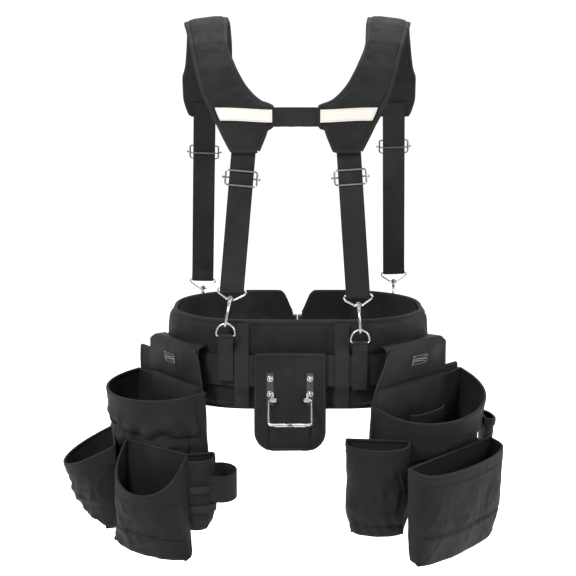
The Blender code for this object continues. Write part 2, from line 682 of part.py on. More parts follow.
# ---------------------------------------------------------------- the front buckle
def make_buckle(plastic):
    """Side-release buckle, its two halves on the ends of the waist webbing."""
    back = WAIST_DEPTH + WEBBING_INNER - 0.003
    half = BUCKLE_HEIGHT / 2
    end = BUCKLE_LENGTH / 2
    slot = WEBBING_HEIGHT / 2 + 0.0008

    def box(x, y, z):
        bm = bmesh.new()
        outline = [(x[0], WEBBING_MIDDLE - z), (x[1], WEBBING_MIDDLE - z), (x[1], WEBBING_MIDDLE + z),
                   (x[0], WEBBING_MIDDLE + z)]
        slab(bm, outline, back + y[0], back + y[1], upright)
        return bm

    entry = (0.003 - 0.0006, 0.003 + WEBBING + 0.0006)
    tongue = (0.0030, BUCKLE - 0.0030)
    parts = [box((0.0005, end), (0.0, BUCKLE), half),
             box((-0.004, 0.0225), (tongue[0] - 0.0004, tongue[1] + 0.0004), half - 0.010),
             box((end - BUCKLE_GRIP, end + 0.004), entry, slot)]
    soften(join_bodies(parts, "buckle_socket", plastic, "DIFFERENCE", 30))
    parts = [box((-end, -0.0005), (0.0, BUCKLE), half),
             box((-end - 0.004, -end + BUCKLE_GRIP), entry, slot)]
    plug = join_bodies(parts, "buckle_plug", plastic, "DIFFERENCE", 30)
    add_boolean(plug, box((-0.006, 0.0220), tongue, half - 0.0104), "UNION")
    soften(plug)


def soften(made):
    bevel = made.modifiers.new("edges", "BEVEL")
    bevel.width = 0.0008
    bevel.segments = 1
    bevel.limit_method = "ANGLE"
    bevel.angle_limit = math.radians(60)


# ---------------------------------------------------------------- the pouches
class Pouch:
    """A pouch's own frame: u along its back panel, w out from the belt, z up."""

    def __init__(self, side, angle):
        self.side = side
        self.name = "left" if side < 0 else "right"
        self.angle = math.radians(angle)            # of its outward face, from -Y, towards its own side
        self.centre = Vector((side * ARC_X, ARC_Y))
        self.out = Vector((side * math.sin(self.angle), -math.cos(self.angle)))
        self.along = Vector((math.cos(self.angle), side * math.sin(self.angle)))
        self.plane = WAIST_CORNER + WEBBING_OUTER + 0.0040   # tunnel's inside face, from the arc's centre

    def point(self, u, w, z):
        flat = self.centre + self.out * (self.plane + SLEEVE + w) + self.along * u
        return Vector((flat.x, flat.y, z))


def make_back_panel(pouch, canvas, half, near_top, near_low, bottom, ear):
    """Belt tunnel round the waist webbing, with the pouch's flat back panel hanging from it.
    near_top and near_low are how far the panel reaches to its edge by the lumbar pad."""
    spread = 27
    inner = OUTER_RADIUS + (WEBBING_STANDOFF - SLEEVE) / 2
    flat = pouch.plane

    def section(radius, front, reach, angle):
        points = []
        for k in range(13):
            a = math.radians(-angle + 2 * angle * k / 12)
            points.append((radius * math.sin(a), radius * math.cos(a)))
        points += [(reach, front), (-reach, front)]
        return [tuple(pouch.centre + pouch.along * u + pouch.out * w) for u, w in points]

    outer = bmesh.new()
    slab(outer, section(inner, flat + SLEEVE, half, spread), POUCH_TUNNEL_BOTTOM, POUCH_TUNNEL_TOP, plan)
    hollow = bmesh.new()
    slab(hollow, section(inner + SLEEVE, flat, half + 0.020, spread + 9),
         POUCH_TUNNEL_BOTTOM + SLEEVE, POUCH_TUNNEL_TOP - SLEEVE, plan)
    name = f"{pouch.name}_pouch_back_panel"
    made = join_bodies([outer, hollow], name, canvas, "DIFFERENCE", 30)
    sheet = bmesh.new()
    near, far = (-1, 1) if pouch.side > 0 else (1, -1)
    reach = half + 0.036
    outline = [(near * near_top, POUCH_TUNNEL_BOTTOM + 0.004), (near * near_low, bottom),
               (far * reach, bottom), (far * reach, ear), (far * (half + 0.004), ear),
               (far * (half - 0.004), POUCH_TUNNEL_BOTTOM + 0.004)]
    slab(sheet, outline, -SLEEVE - 0.0004, 0.0004, lambda u, z, w: pouch.point(u, w, z))
    add_boolean(made, sheet, "UNION")
    set_origin(made, (pouch.centre.x, pouch.centre.y, 0.0))


def bag_ring(place, level, inset, power, steps=12):
    """One level of a bag: a straight back and a bulging front; inset is how far in from the outer wall."""
    half, bulge, z_back, z_front = level
    ring = []
    for k in range(steps + 1):
        angle = math.pi * k / steps
        u = (half - inset) * math.cos(angle)
        share = math.sin(angle) ** power
        w = inset + max(0.0005, bulge - 2 * inset) * share
        z = z_back + (z_front - z_back) * share
        ring.append(place(u, w, z))
    return ring


def make_bag(name, made_of, place, levels, power, wall=POUCH_WALL):
    """Open bag.  levels run from the bottom to the rim: half width, bulge, and height at its back and front."""
    bm = bmesh.new()
    rings = [bag_ring(place, level, 0.0, power) for level in levels]
    inside = [bag_ring(place, level, wall, power) for level in reversed(levels[1:])]
    half, bulge, z_back, z_front = levels[0]
    inside.append(bag_ring(place, (half, bulge, z_back + wall, z_front + wall), wall, power))
    loft(bm, rings + inside)
    return finish(bm, name, made_of, 40)


def turned(pouch, u, w, turn, tilt=0.0):
    """Placement for a bag whose back stands at (u, w), faces turn degrees towards +u, and rises along its width
    by tilt."""
    c, s = math.cos(math.radians(turn)), math.sin(math.radians(turn))
    return lambda a, b, z: pouch.point(u + a * c + b * s, w - a * s + b * c, z + tilt * a)


def make_bags(pouch, canvas, bags):
    """Each bag has its name, the (u, w, turn, tilt) of its back, how full its front is, and its levels."""
    for name, where, power, levels in bags:
        made = make_bag(f"{pouch.name}_pouch_{name}", canvas, turned(pouch, *where), levels, power)
        set_origin(made, (pouch.centre.x, pouch.centre.y, 0.0))


def make_left_pouch(canvas):
    pouch = Pouch(-1, 56)
    make_back_panel(pouch, canvas, 0.074, 0.092, 0.108, -0.225, 0.004)
    make_bags(pouch, canvas, [
        ("main_pocket", (-0.009, 0.0012, 0), 0.80,
         [(0.095, 0.050, -0.235, -0.230), (0.107, 0.080, -0.190, -0.190), (0.110, 0.090, -0.110, -0.110),
          (0.109, 0.100, -0.038, -0.052)]),
        ("nail_bag", (-0.0580, 0.0850, -26), 0.80,
         [(0.042, 0.024, -0.270, -0.262), (0.056, 0.058, -0.220, -0.222), (0.061, 0.078, -0.132, -0.172)]),
        ("centre_bag", (0.0680, 0.0725, 28), 0.70,
         [(0.060, 0.044, -0.282, -0.286), (0.057, 0.060, -0.225, -0.230), (0.053, 0.064, -0.122, -0.184)]),
        ("side_pocket", (0.1110, 0.0160, 75), 0.60,
         [(0.014, 0.010, -0.248, -0.248), (0.017, 0.018, -0.215, -0.215), (0.0175, 0.018, -0.132, -0.142)]),
    ])
    bm = bmesh.new()
    turns = [2 * math.pi * k / 16 for k in range(16)]
    rings = []
    for inset, z in ((0.0, -0.205), (0.0, -0.160), (POUCH_WALL, -0.160), (POUCH_WALL, -0.205)):
        rings.append([pouch.point(0.1290 + (0.011 - inset) * math.cos(a), -0.020 + (0.020 - inset) * math.sin(a), z)
                      for a in turns])
    loft(bm, rings, closed=True)
    set_origin(finish(bm, "left_pouch_tool_loop", canvas, 40), (pouch.centre.x, pouch.centre.y, 0.0))


def make_right_pouch(canvas):
    pouch = Pouch(1, 49)
    make_back_panel(pouch, canvas, 0.078, 0.112, 0.126, -0.225, -0.022)
    make_bags(pouch, canvas, [
        ("main_pocket", (0.003, 0.0012, 0, 0.10), 0.80,
         [(0.102, 0.050, -0.235, -0.230), (0.114, 0.080, -0.190, -0.190), (0.119, 0.088, -0.115, -0.115),
          (0.119, 0.100, -0.044, -0.078)]),
        ("inner_pocket", (0.0120, 0.0042, 0), 0.40,
         [(0.046, 0.014, -0.170, -0.170), (0.048, 0.018, -0.080, -0.086)]),
        ("narrow_pocket", (-0.1285, 0.0150, -57), 0.60,
         [(0.036, 0.026, -0.243, -0.247), (0.043, 0.036, -0.205, -0.210), (0.044, 0.036, -0.106, -0.110)]),
        ("wide_bag", (-0.0330, 0.0925, 3), 0.45,
         [(0.112, 0.030, -0.276, -0.284), (0.118, 0.042, -0.225, -0.230), (0.119, 0.048, -0.130, -0.143)]),
        ("side_loop", (0.1180, 0.0640, 52), 0.60,
         [(0.019, 0.012, -0.160, -0.160), (0.022, 0.020, -0.100, -0.105)]),
    ])


def main():
    clear_scene()
    canvas = material("black_canvas", CANVAS, 0.78)
    webbing = material("black_webbing", WEB_COLOUR, 0.62)
    lining = material("mesh_lining", LINING_COLOUR, 0.90)
    foam = material("grey_foam", FOAM_COLOUR, 0.95)
    steel = material("plated_steel", STEEL_COLOUR, 0.28, 1.0)
    reflective = material("reflective_tape", REFLECTIVE_COLOUR, 0.45)
    plastic = material("black_acetal", PLASTIC_COLOUR, 0.40)
    make_belt(canvas, lining, foam, webbing)
    make_belt_loops(webbing)
    for end, at in zip(strap_ends(), ADJUSTER_AT):
        make_strap(end, webbing)
        make_adjuster(end, steel, at)
        make_ring_tab(end, webbing)
        make_ring(end, steel)
        make_hook(end, steel)
    make_hammer_holder(canvas, steel)
    make_yoke(canvas, webbing, reflective)
    make_buckle(plastic)
    make_left_pouch(canvas)
    make_right_pouch(canvas)


main()
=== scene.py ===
"""Looks of the padded tool belt: fabric, padding, stitching and metal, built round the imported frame.

Metres, +Z up, in the frame's own axes.  -Y is the wearer's back, where the camera stands.
"""
import json
import math

import bmesh
import bpy
import numpy as np
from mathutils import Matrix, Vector


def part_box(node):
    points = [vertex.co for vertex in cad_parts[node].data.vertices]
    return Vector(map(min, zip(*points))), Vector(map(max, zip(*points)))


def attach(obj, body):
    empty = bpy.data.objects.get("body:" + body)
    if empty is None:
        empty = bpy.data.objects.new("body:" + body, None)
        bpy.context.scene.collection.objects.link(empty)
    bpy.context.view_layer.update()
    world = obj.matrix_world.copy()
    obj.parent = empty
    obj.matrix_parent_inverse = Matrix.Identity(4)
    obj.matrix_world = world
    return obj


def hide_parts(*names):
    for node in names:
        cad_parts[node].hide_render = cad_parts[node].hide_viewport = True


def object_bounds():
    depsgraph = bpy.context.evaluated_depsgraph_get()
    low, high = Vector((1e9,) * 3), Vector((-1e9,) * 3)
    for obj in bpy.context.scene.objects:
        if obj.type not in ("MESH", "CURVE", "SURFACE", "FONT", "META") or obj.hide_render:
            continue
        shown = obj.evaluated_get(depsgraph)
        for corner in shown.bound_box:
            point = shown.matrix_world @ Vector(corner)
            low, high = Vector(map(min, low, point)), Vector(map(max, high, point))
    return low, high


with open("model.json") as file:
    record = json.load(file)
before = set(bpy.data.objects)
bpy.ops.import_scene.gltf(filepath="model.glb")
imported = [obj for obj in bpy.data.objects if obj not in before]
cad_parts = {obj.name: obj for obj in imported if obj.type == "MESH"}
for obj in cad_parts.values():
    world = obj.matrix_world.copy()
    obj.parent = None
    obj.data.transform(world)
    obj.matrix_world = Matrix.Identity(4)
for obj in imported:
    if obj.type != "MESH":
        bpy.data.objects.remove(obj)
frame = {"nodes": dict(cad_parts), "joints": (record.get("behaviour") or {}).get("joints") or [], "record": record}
cad_low, cad_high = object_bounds()

# ---------------------------------------------------------------- sizes
CANVAS = 0.0020              # fabric thickness of bags and panels
HEM = 0.0009                 # how far a folded hem stands proud
STITCH = 0.0034              # length of one stitch, and the gap after it
STITCH_GAP = 0.0014
THREAD = 0.00036
WEBBING = 0.0020
STRAP_WIDTH = 0.038
TAB_WIDTH = 0.0235
LOOP_WIDTH = 0.0225

BELT_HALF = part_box("belt_outer_cover")[1].z
BELT = -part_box("belt_outer_cover")[0].y              # thickness of the padded belt
LINING = 0.0016                                      # thickness of the belt's inner lining
BELT_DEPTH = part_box("belt_inner_lining")[1].y - LINING
BELT_CORNER = 0.120                                  # inside radius of the belt's corners
BELT_ARC_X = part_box("belt_inner_lining")[1].x - LINING - BELT_CORNER
PAD_END = 0.011                                      # half the gap between the pad ends
PAD_END_CUT = (0.020, 0.040)                         # length and height of the clipped end corners
HAMMER_SPREAD = 0.0632                               # between the two legs of the hammer loop
WEBBING_LOW, WEBBING_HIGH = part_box("waist_webbing")[0].z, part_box("waist_webbing")[1].z
WEBBING_FACE = -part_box("waist_webbing")[0].y
BODIES = frame["record"]["behaviour"]["bodies"]


def joint_position(name):
    return Vector(next(joint["pos_m"] for joint in frame["joints"] if joint["name"] == name))


# ---------------------------------------------------------------- surfaces
def unit(vectors):
    return vectors / np.maximum(np.linalg.norm(vectors, axis=-1, keepdims=True), 1e-12)


def facing(f, u, v, step=0.002):
    """Points and unit normals of the surface f at arrays u and v.  Seen against its normals, u runs right and
    v down."""
    low, high = np.clip(v - step, 0, 1), np.clip(v + step, 0, 1)
    along = f(u + step, v) - f(u - step, v)
    down = f(u, high) - f(u, low)
    return f(u, v), unit(np.cross(down, along))


def raised(f, height):
    """The surface f moved along its normals by height, a number or a function of u, v and the points."""
    def place(u, v):
        points, normals = facing(f, u, v)
        rise = height(u, v, points) if callable(height) else height
        return points + normals * np.asarray(rise)[..., None]
    return place


def part_of(f, u_range, v_range):
    """The piece of f between two u and two v values, as a surface of its own."""
    def place(u, v):
        return f(u_range[0] + (u_range[1] - u_range[0]) * u, v_range[0] + (v_range[1] - v_range[0]) * v)
    return place


def waves(points, size, seed, count=6):
    """Smooth noise, about -1 to 1, with features of that size."""
    rng = np.random.default_rng(seed)
    axes = unit(rng.normal(size=(count, 3)))
    turns = 2 * np.pi / size * rng.uniform(0.6, 1.5, count)
    phases = rng.uniform(0, 2 * np.pi, count)
    return np.sin(points @ axes.T * turns + phases).sum(-1) / count ** 0.5 / 1.2


def creases(points, size, seed, sharpness=0.22):
    """Narrow wandering ridges, 0 to 1."""
    bent = points + 0.3 * size * waves(points, size * 1.7, seed + 50)[..., None]
    return np.exp(-(waves(bent, size, seed) / sharpness) ** 2)


def smooth_step(values, low, high):
    share = np.clip((values - low) / (high - low), 0, 1)
    return share * share * (3 - 2 * share)


def eased(v, knots, values):
    """A smooth curve through the values at the knots, with no overshoot."""
    knots, values = np.asarray(knots, float), np.asarray(values, float)
    rise = np.diff(values) / np.diff(knots)
    turn = rise[:-1] * rise[1:]
    middle = np.where(turn > 0, 2 * turn / np.where(turn > 0, rise[:-1] + rise[1:], 1.0), 0.0)
    slopes = np.concatenate([rise[:1], middle, rise[-1:]])
    index = np.clip(np.searchsorted(knots, v, side="right") - 1, 0, len(knots) - 2)
    low, high = np.take(knots, index), np.take(knots, index + 1)
    t = (v - low) / (high - low)
    a, b = np.take(values, index), np.take(values, index + 1)
    ma, mb = np.take(slopes, index) * (high - low), np.take(slopes, index + 1) * (high - low)
    return ((2 * t**3 - 3 * t**2 + 1) * a + (t**3 - 2 * t**2 + t) * ma + (3 * t**2 - 2 * t**3) * b
            + (t**3 - t**2) * mb)


# ---------------------------------------------------------------- meshes
def finish_mesh(work, name, look, body, smooth=60):
    """Turns a bmesh into a named piece that rides on a body."""
    bmesh.ops.recalc_face_normals(work, faces=work.faces)
    mesh = bpy.data.meshes.new(name)
    work.to_mesh(mesh)
    work.free()
    mesh.shade_smooth()
    mesh.set_sharp_from_angle(angle=math.radians(smooth))
    mesh.materials.append(look)
    made = bpy.data.objects.new(name, mesh)
    bpy.context.scene.collection.objects.link(made)
    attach(made, body)
    return made


def grid(columns, rows):
    """A flat bmesh grid with a UV map, and each point's u (to the right) and v (down) from 0 to 1."""
    work = bmesh.new()
    work.loops.layers.uv.new("fabric")
    for key in ("behind", "spot"):
        work.verts.layers.float_vector.new(key)
    bmesh.ops.create_grid(work, x_segments=columns, y_segments=rows, size=0.5, calc_uvs=True)
    flat = np.array([vert.co for vert in work.verts])
    return work, np.clip(flat[:, 0] + 0.5, 0, 1), np.clip(0.5 - flat[:, 1], 0, 1)


def scale_uvs(work, long, high):
    """UVs in metres, so that a weave keeps its pitch."""
    layer = work.loops.layers.uv.active
    for face in work.faces:
        for loop in face.loops:
            at = loop[layer].uv
            loop[layer].uv = (at.x * long, at.y * high)


def measure(f):
    """The middle length of the surface f across and down."""
    ends = np.linspace(0, 1, 60)
    middle = np.full(60, 0.5)
    across, down = f(ends, middle), f(middle, ends)
    return tuple(np.linalg.norm(np.diff(line, axis=0), axis=1).sum() for line in (across, down))


def cloth(name, f, columns, rows, look, body, thick=CANVAS, closed=False, side=1, cap=False):
    """Fabric with real thickness: a grid laid on the surface f and extruded behind it.  side is which way the
    seen face points along f's normals.  cap closes a tube's last row."""
    work, u, v = grid(columns, rows)
    points, normals = facing(f, u, v)
    behind = work.verts.layers.float_vector["behind"]
    for vert, point, normal in zip(work.verts, points, normals * (-side * thick)):
        vert.co = point
        vert[behind] = normal
    scale_uvs(work, *measure(f))
    if closed:
        bmesh.ops.remove_doubles(work, verts=work.verts, dist=0.000002)
    if cap:
        rims = [edge for edge in work.edges if edge.is_boundary]
        low = min(edge.verts[0].co.z for edge in rims)
        high = max(edge.verts[0].co.z for edge in rims)
        bottom = [edge for edge in rims if edge.verts[0].co.z < (low + high) / 2]
        bmesh.ops.edgeloop_fill(work, edges=bottom)
    everything = work.faces[:] + work.edges[:] + work.verts[:]
    copied = bmesh.ops.extrude_face_region(work, geom=everything, use_keep_orig=True)["geom"]
    for vert in copied:
        if isinstance(vert, bmesh.types.BMVert):
            vert.co += vert[behind]
    return finish_mesh(work, name, look, body)


def along_path(points, step):
    """Evenly spaced points on a polyline, their directions and their distances along it."""
    points = np.asarray(points, float)
    lengths = np.concatenate([[0], np.cumsum(np.linalg.norm(np.diff(points, axis=0), axis=1))])
    count = max(2, int(round(lengths[-1] / step)) + 1)
    at = np.linspace(0, lengths[-1], count)
    found = np.stack([np.interp(at, lengths, points[:, k]) for k in range(3)], -1)
    return found, unit(np.gradient(found, axis=0)), at


def swept(name, points, normals, look, body, across, thick, step=0.004, sides=10, power=3.0, closed=False):
    """A band or bar along a path, its section a rounded rectangle across wide (sideways) and thick (along the
    normals)."""
    points, normals = np.asarray(points, float), np.asarray(normals, float)
    if closed:
        points, normals = np.concatenate([points, points[:1]]), np.concatenate([normals, normals[:1]])
    lengths = np.concatenate([[0], np.cumsum(np.linalg.norm(np.diff(points, axis=0), axis=1))])
    places, along, at = along_path(points, step)
    if closed:
        along[0] = along[-1] = unit(along[0] + along[-1])
    ups = unit(np.stack([np.interp(at, lengths, normals[:, k]) for k in range(3)], -1))
    sideways = unit(np.cross(along, ups))
    ups = np.cross(sideways, along)
    work, u, v = grid(sides, len(places) - 1)
    row = np.round(v * (len(places) - 1)).astype(int)
    turns = 2 * np.pi * (np.round(u * sides) % sides + 0.5) / sides
    c, s = np.cos(turns), np.sin(turns)
    a = np.sign(c) * np.abs(c) ** (2 / power) * across / 2
    b = np.sign(s) * np.abs(s) ** (2 / power) * thick / 2
    for vert, point in zip(work.verts, places[row] + sideways[row] * a[:, None] + ups[row] * b[:, None]):
        vert.co = point
    scale_uvs(work, 2 * (across + thick), at[-1])
    bmesh.ops.remove_doubles(work, verts=work.verts, dist=0.000002)
    if not closed:
        bmesh.ops.holes_fill(work, edges=[edge for edge in work.edges if edge.is_boundary], sides=0)
    return finish_mesh(work, name, look, body)


# ---------------------------------------------------------------- stitching
class Thread:
    """Stitches of one thread on one body, collected and then made as a single piece."""

    made = {}

    def __init__(self, body, look):
        self.body, self.look = body, look
        self.centres, self.along, self.up = [], [], []

    @classmethod
    def of(cls, body, look):
        return cls.made.setdefault((body, look.name), cls(body, look))

    def run(self, points, normals, length=STITCH, gap=STITCH_GAP):
        points, normals = np.asarray(points, float), np.asarray(normals, float)
        lengths = np.concatenate([[0], np.cumsum(np.linalg.norm(np.diff(points, axis=0), axis=1))])
        centres, along, at = along_path(points, length + gap)
        ups = unit(np.stack([np.interp(at, lengths, normals[:, k]) for k in range(3)], -1))
        self.centres.append(centres + ups * THREAD * 0.5)
        self.along.append(along * length / 2)
        self.up.append(ups)

    def build(self, name):
        """One stitch is a small lens of thread, doubled again and again until every place has one."""
        centres, along, ups = (np.concatenate(part) for part in (self.centres, self.along, self.up))
        sideways = unit(np.cross(along, ups))
        work = bmesh.new()
        corner, number = (work.verts.layers.int.new(key) for key in ("corner", "number"))
        ball = bmesh.ops.create_uvsphere(work, u_segments=4, v_segments=3, radius=1.0)["verts"]
        lens = np.array([vert.co for vert in ball])
        for index, vert in enumerate(ball):
            vert[corner] = index
        count = 1
        while count < len(centres):
            missing = len(centres) - count
            source = [vert for vert in work.verts if vert[number] < missing]
            source += [part for part in (*work.edges, *work.faces) if part.verts[0][number] < missing]
            for copy in bmesh.ops.duplicate(work, geom=source)["geom"]:
                if isinstance(copy, bmesh.types.BMVert):
                    copy[number] += count
            count += min(count, missing)
        at = np.array([vert[number] for vert in work.verts])
        shape = lens[[vert[corner] for vert in work.verts]]
        points = (centres[at] + (shape[:, :1] * sideways[at] + shape[:, 1:2] * ups[at]) * THREAD * 1.2
                  + shape[:, 2:] * along[at])
        for vert, point in zip(work.verts, points):
            vert.co = point
        finish_mesh(work, name, self.look, self.body, 180)


def stitch(f, ends, body, look=None, rise=0.0, steps=60, side=1):
    """A row of stitches on the surface f, through (u, v) pairs."""
    ends = np.asarray(ends, float)
    at = np.linspace(0, len(ends) - 1, steps)
    u = np.interp(at, range(len(ends)), ends[:, 0])
    v = np.interp(at, range(len(ends)), ends[:, 1])
    points, normals = facing(f, u, v)
    normals = normals * side
    Thread.of(body, look or thread).run(points + normals * rise, normals)


def edge_tape(name, f, ends, body, look, width=0.009, thick=0.0034, steps=90, closed=False, inward=0.0,
              side=1):
    """Binding tape folded over the edge of the surface f that runs through (u, v) pairs."""
    ends = np.asarray(ends, float)
    at = np.linspace(0, len(ends) - 1, steps)
    u = np.interp(at, range(len(ends)), ends[:, 0])
    v = np.interp(at, range(len(ends)), ends[:, 1])
    points, normals = facing(f, u, v)
    normals = normals * side
    middle = points - normals * inward
    return swept(name, middle, normals, look, body, width, thick, closed=closed)


class Nodes:
    """A short way to write a node tree."""

    def __init__(self, name):
        self.material = bpy.data.materials.new(name)
        self.material.use_nodes = True
        self.tree = self.material.node_tree
        self.shader = self.tree.nodes["Principled BSDF"]

    def add(self, kind, **settings):
        node = self.tree.nodes.new(kind)
        for key, value in settings.items():
            setattr(node, key, value)
        return node

    def put(self, socket, value):
        if isinstance(value, bpy.types.NodeSocket):
            self.tree.links.new(value, socket)
        else:
            socket.default_value = value

    def math(self, operation, a, b=0.0, c=0.0):
        node = self.add("ShaderNodeMath", operation=operation)
        for socket, value in zip(node.inputs, (a, b, c)):
            self.put(socket, value)
        return node.outputs[0]

    def noise(self, where, scale, detail=3.0, roughness=0.55):
        node = self.add("ShaderNodeTexNoise")
        self.put(node.inputs["Vector"], where)
        self.put(node.inputs["Scale"], scale)
        self.put(node.inputs["Detail"], detail)
        self.put(node.inputs["Roughness"], roughness)
        return node.outputs["Fac"]

    def ramp(self, value, low, high):
        """value mapped smoothly from low..high to 0..1."""
        node = self.add("ShaderNodeMapRange", interpolation_type="SMOOTHSTEP")
        for socket, number in zip(node.inputs, (value, low, high, 0.0, 1.0)):
            self.put(socket, number)
        return node.outputs[0]

    def mix(self, share, one, two):
        node = self.add("ShaderNodeMix", data_type="RGBA")
        self.put(node.inputs[0], share)
        self.put(node.inputs[6], (*one, 1.0) if isinstance(one, tuple) else one)
        self.put(node.inputs[7], (*two, 1.0) if isinstance(two, tuple) else two)
        return node.outputs[2]

    def bump(self, height, strength, distance, under=None):
        node = self.add("ShaderNodeBump")
        self.put(node.inputs["Strength"], strength)
        self.put(node.inputs["Distance"], distance)
        self.put(node.inputs["Height"], height)
        if under is not None:
            self.put(node.inputs["Normal"], under)
        return node.outputs["Normal"]


def fabric_look(name, colour, pitch, weave, relief, roughness, worn=1.7, sheen=0.006, on_uv=True, mottle=55):
    """Woven cloth: thread relief at that pitch, uneven dye, dust in broad patches and a soft sheen."""
    n = Nodes(name)
    coordinates = n.add("ShaderNodeTexCoord")
    spot = coordinates.outputs["Object"]
    split = n.add("ShaderNodeSeparateXYZ")
    n.put(split.inputs[0], coordinates.outputs["UV"] if on_uv else spot)
    across, down = split.outputs["X"], split.outputs["Y" if on_uv else "Z"]
    if not on_uv:
        across = n.math("ADD", across, split.outputs["Y"])
    turn = 2 * math.pi / pitch
    warp = n.math("SINE", n.math("MULTIPLY", across, turn))
    weft = n.math("SINE", n.math("MULTIPLY", down, turn))
    if weave == "twill":
        weft = n.math("SINE", n.math("MULTIPLY", n.math("ADD", across, down), turn * 0.7))
    threads = n.math("MULTIPLY", warp, weft)
    if weave == "rib":
        threads = n.math("ADD", n.math("MULTIPLY", weft, 0.75), n.math("MULTIPLY", warp, 0.25))
    fuzz = n.noise(spot, 1400, 2.0, 0.6)
    patches = n.noise(spot, mottle, 4.0, 0.6)
    dust = n.noise(spot, 9.0, 3.0, 0.6)
    pale = tuple(min(1.0, c * worn + 0.004) for c in colour)
    deep = tuple(c * 0.62 for c in colour)
    base = n.mix(n.ramp(patches, 0.3, 0.72), deep, colour)
    base = n.mix(n.math("MULTIPLY", n.ramp(dust, 0.48, 0.75), 0.45), base, pale)
    base = n.mix(n.math("MULTIPLY", n.ramp(threads, -0.2, 1.0), 0.42), base, pale)
    base = n.mix(n.math("MULTIPLY", n.ramp(fuzz, 0.55, 0.8), 0.35), base, pale)
    n.put(n.shader.inputs["Base Color"], base)
    n.put(n.shader.inputs["Roughness"], n.math("ADD", n.math("MULTIPLY", patches, 0.22), roughness - 0.11))
    n.put(n.shader.inputs["Sheen Weight"], sheen)
    n.put(n.shader.inputs["Sheen Roughness"], 0.45)
    n.put(n.shader.inputs["Specular IOR Level"], 0.10)
    soft = n.bump(n.noise(spot, 90, 4.0, 0.6), 0.35, 0.0012)
    height = n.math("ADD", threads, n.math("MULTIPLY", fuzz, 0.8))
    n.put(n.shader.inputs["Normal"], n.bump(height, relief, pitch * 0.22, soft))
    return n.material


def metal_look(name, colour, roughness):
    """Nickel-plated steel with faint drawing marks and dulled patches."""
    n = Nodes(name)
    spot = n.add("ShaderNodeTexCoord").outputs["Object"]
    dull = n.noise(spot, 160, 4.0, 0.65)
    tarnished = tuple(c * 0.62 for c in colour)
    n.put(n.shader.inputs["Base Color"], n.mix(n.ramp(dull, 0.35, 0.75), colour, tarnished))
    n.put(n.shader.inputs["Metallic"], 1.0)
    n.put(n.shader.inputs["Roughness"], n.math("ADD", n.math("MULTIPLY", dull, 0.22), roughness - 0.08))
    n.put(n.shader.inputs["Normal"], n.bump(n.noise(spot, 900, 2.0), 0.12, 0.0002))
    return n.material


def reflector_look(name, colour):
    """Retroreflective tape: a fine honeycomb of cells over a soft grey-white ground."""
    n = Nodes(name)
    spot = n.add("ShaderNodeTexCoord").outputs["Object"]
    cells = n.add("ShaderNodeTexVoronoi", feature="DISTANCE_TO_EDGE")
    n.put(cells.inputs["Vector"], spot)
    n.put(cells.inputs["Scale"], 620)
    wall = n.ramp(cells.outputs["Distance"], 0.02, 0.16)
    stain = n.ramp(n.noise(spot, 40, 4.0), 0.35, 0.8)
    body = n.mix(n.math("MULTIPLY", stain, 0.35), colour, tuple(c * 0.72 for c in colour))
    n.put(n.shader.inputs["Base Color"], n.mix(wall, tuple(c * 0.7 for c in colour), body))
    n.put(n.shader.inputs["Roughness"], 0.38)
    n.put(n.shader.inputs["Metallic"], 0.15)
    n.put(n.shader.inputs["Normal"], n.bump(wall, 0.25, 0.0002))
    return n.material


def grained_look(name, colour, roughness, scale, relief):
    """Leather or moulded plastic: a fine pebbled grain."""
    n = Nodes(name)
    spot = n.add("ShaderNodeTexCoord").outputs["Object"]
    cells = n.add("ShaderNodeTexVoronoi")
    n.put(cells.inputs["Vector"], spot)
    n.put(cells.inputs["Scale"], scale)
    grain = cells.outputs["Distance"]
    wear = n.noise(spot, 120, 3.0)
    rubbed = tuple(c * 1.8 for c in colour)
    n.put(n.shader.inputs["Base Color"], n.mix(n.ramp(wear, 0.4, 0.8), colour, rubbed))
    n.put(n.shader.inputs["Roughness"], n.math("ADD", n.math("MULTIPLY", wear, 0.2), roughness - 0.1))
    n.put(n.shader.inputs["Normal"], n.bump(grain, relief, 0.0004))
    return n.material


canvas = fabric_look("canvas", (0.0036, 0.0036, 0.0038), 0.0014, "plain", 0.7, 0.62, 2.3)
smooth_canvas = fabric_look("smooth_canvas", (0.0042, 0.0042, 0.0045), 0.0010, "plain", 0.35, 0.50, 1.9)
# binding tape's colour is set lighter than the canvas as a painted highlight along the bound edges (the label
# patch shares it)
binding = fabric_look("binding", (0.0046, 0.0046, 0.0049), 0.0012, "rib", 0.6, 0.62, 2.2)
webbing = fabric_look("webbing", (0.0050, 0.0050, 0.0053), 0.0017, "rib", 0.8, 0.58, 2.6)
strap_webbing = fabric_look("strap_webbing", (0.0042, 0.0043, 0.0047), 0.0017, "twill", 0.8, 0.56, 2.4)
mesh_lining = fabric_look("mesh", (0.0030, 0.0030, 0.0034), 0.0026, "plain", 1.0, 0.85, 3.4)
steel = metal_look("steel", (0.30, 0.30, 0.31), 0.22)
dull_steel = metal_look("dull_steel", (0.115, 0.115, 0.118), 0.30)
reflector = reflector_look("reflector", (0.36, 0.33, 0.30))
acetal = grained_look("acetal", (0.006, 0.006, 0.007), 0.42, 1500, 0.10)
leather = grained_look("leather", (0.0012, 0.0012, 0.0013), 0.62, 900, 0.30)
thread = fabric_look("thread", (0.017, 0.017, 0.018), 0.0006, "rib", 0.3, 0.55, 1.4, on_uv=False)
label_thread = fabric_look("label", (0.30, 0.30, 0.31), 0.0007, "rib", 0.4, 0.50, 1.1, on_uv=False)


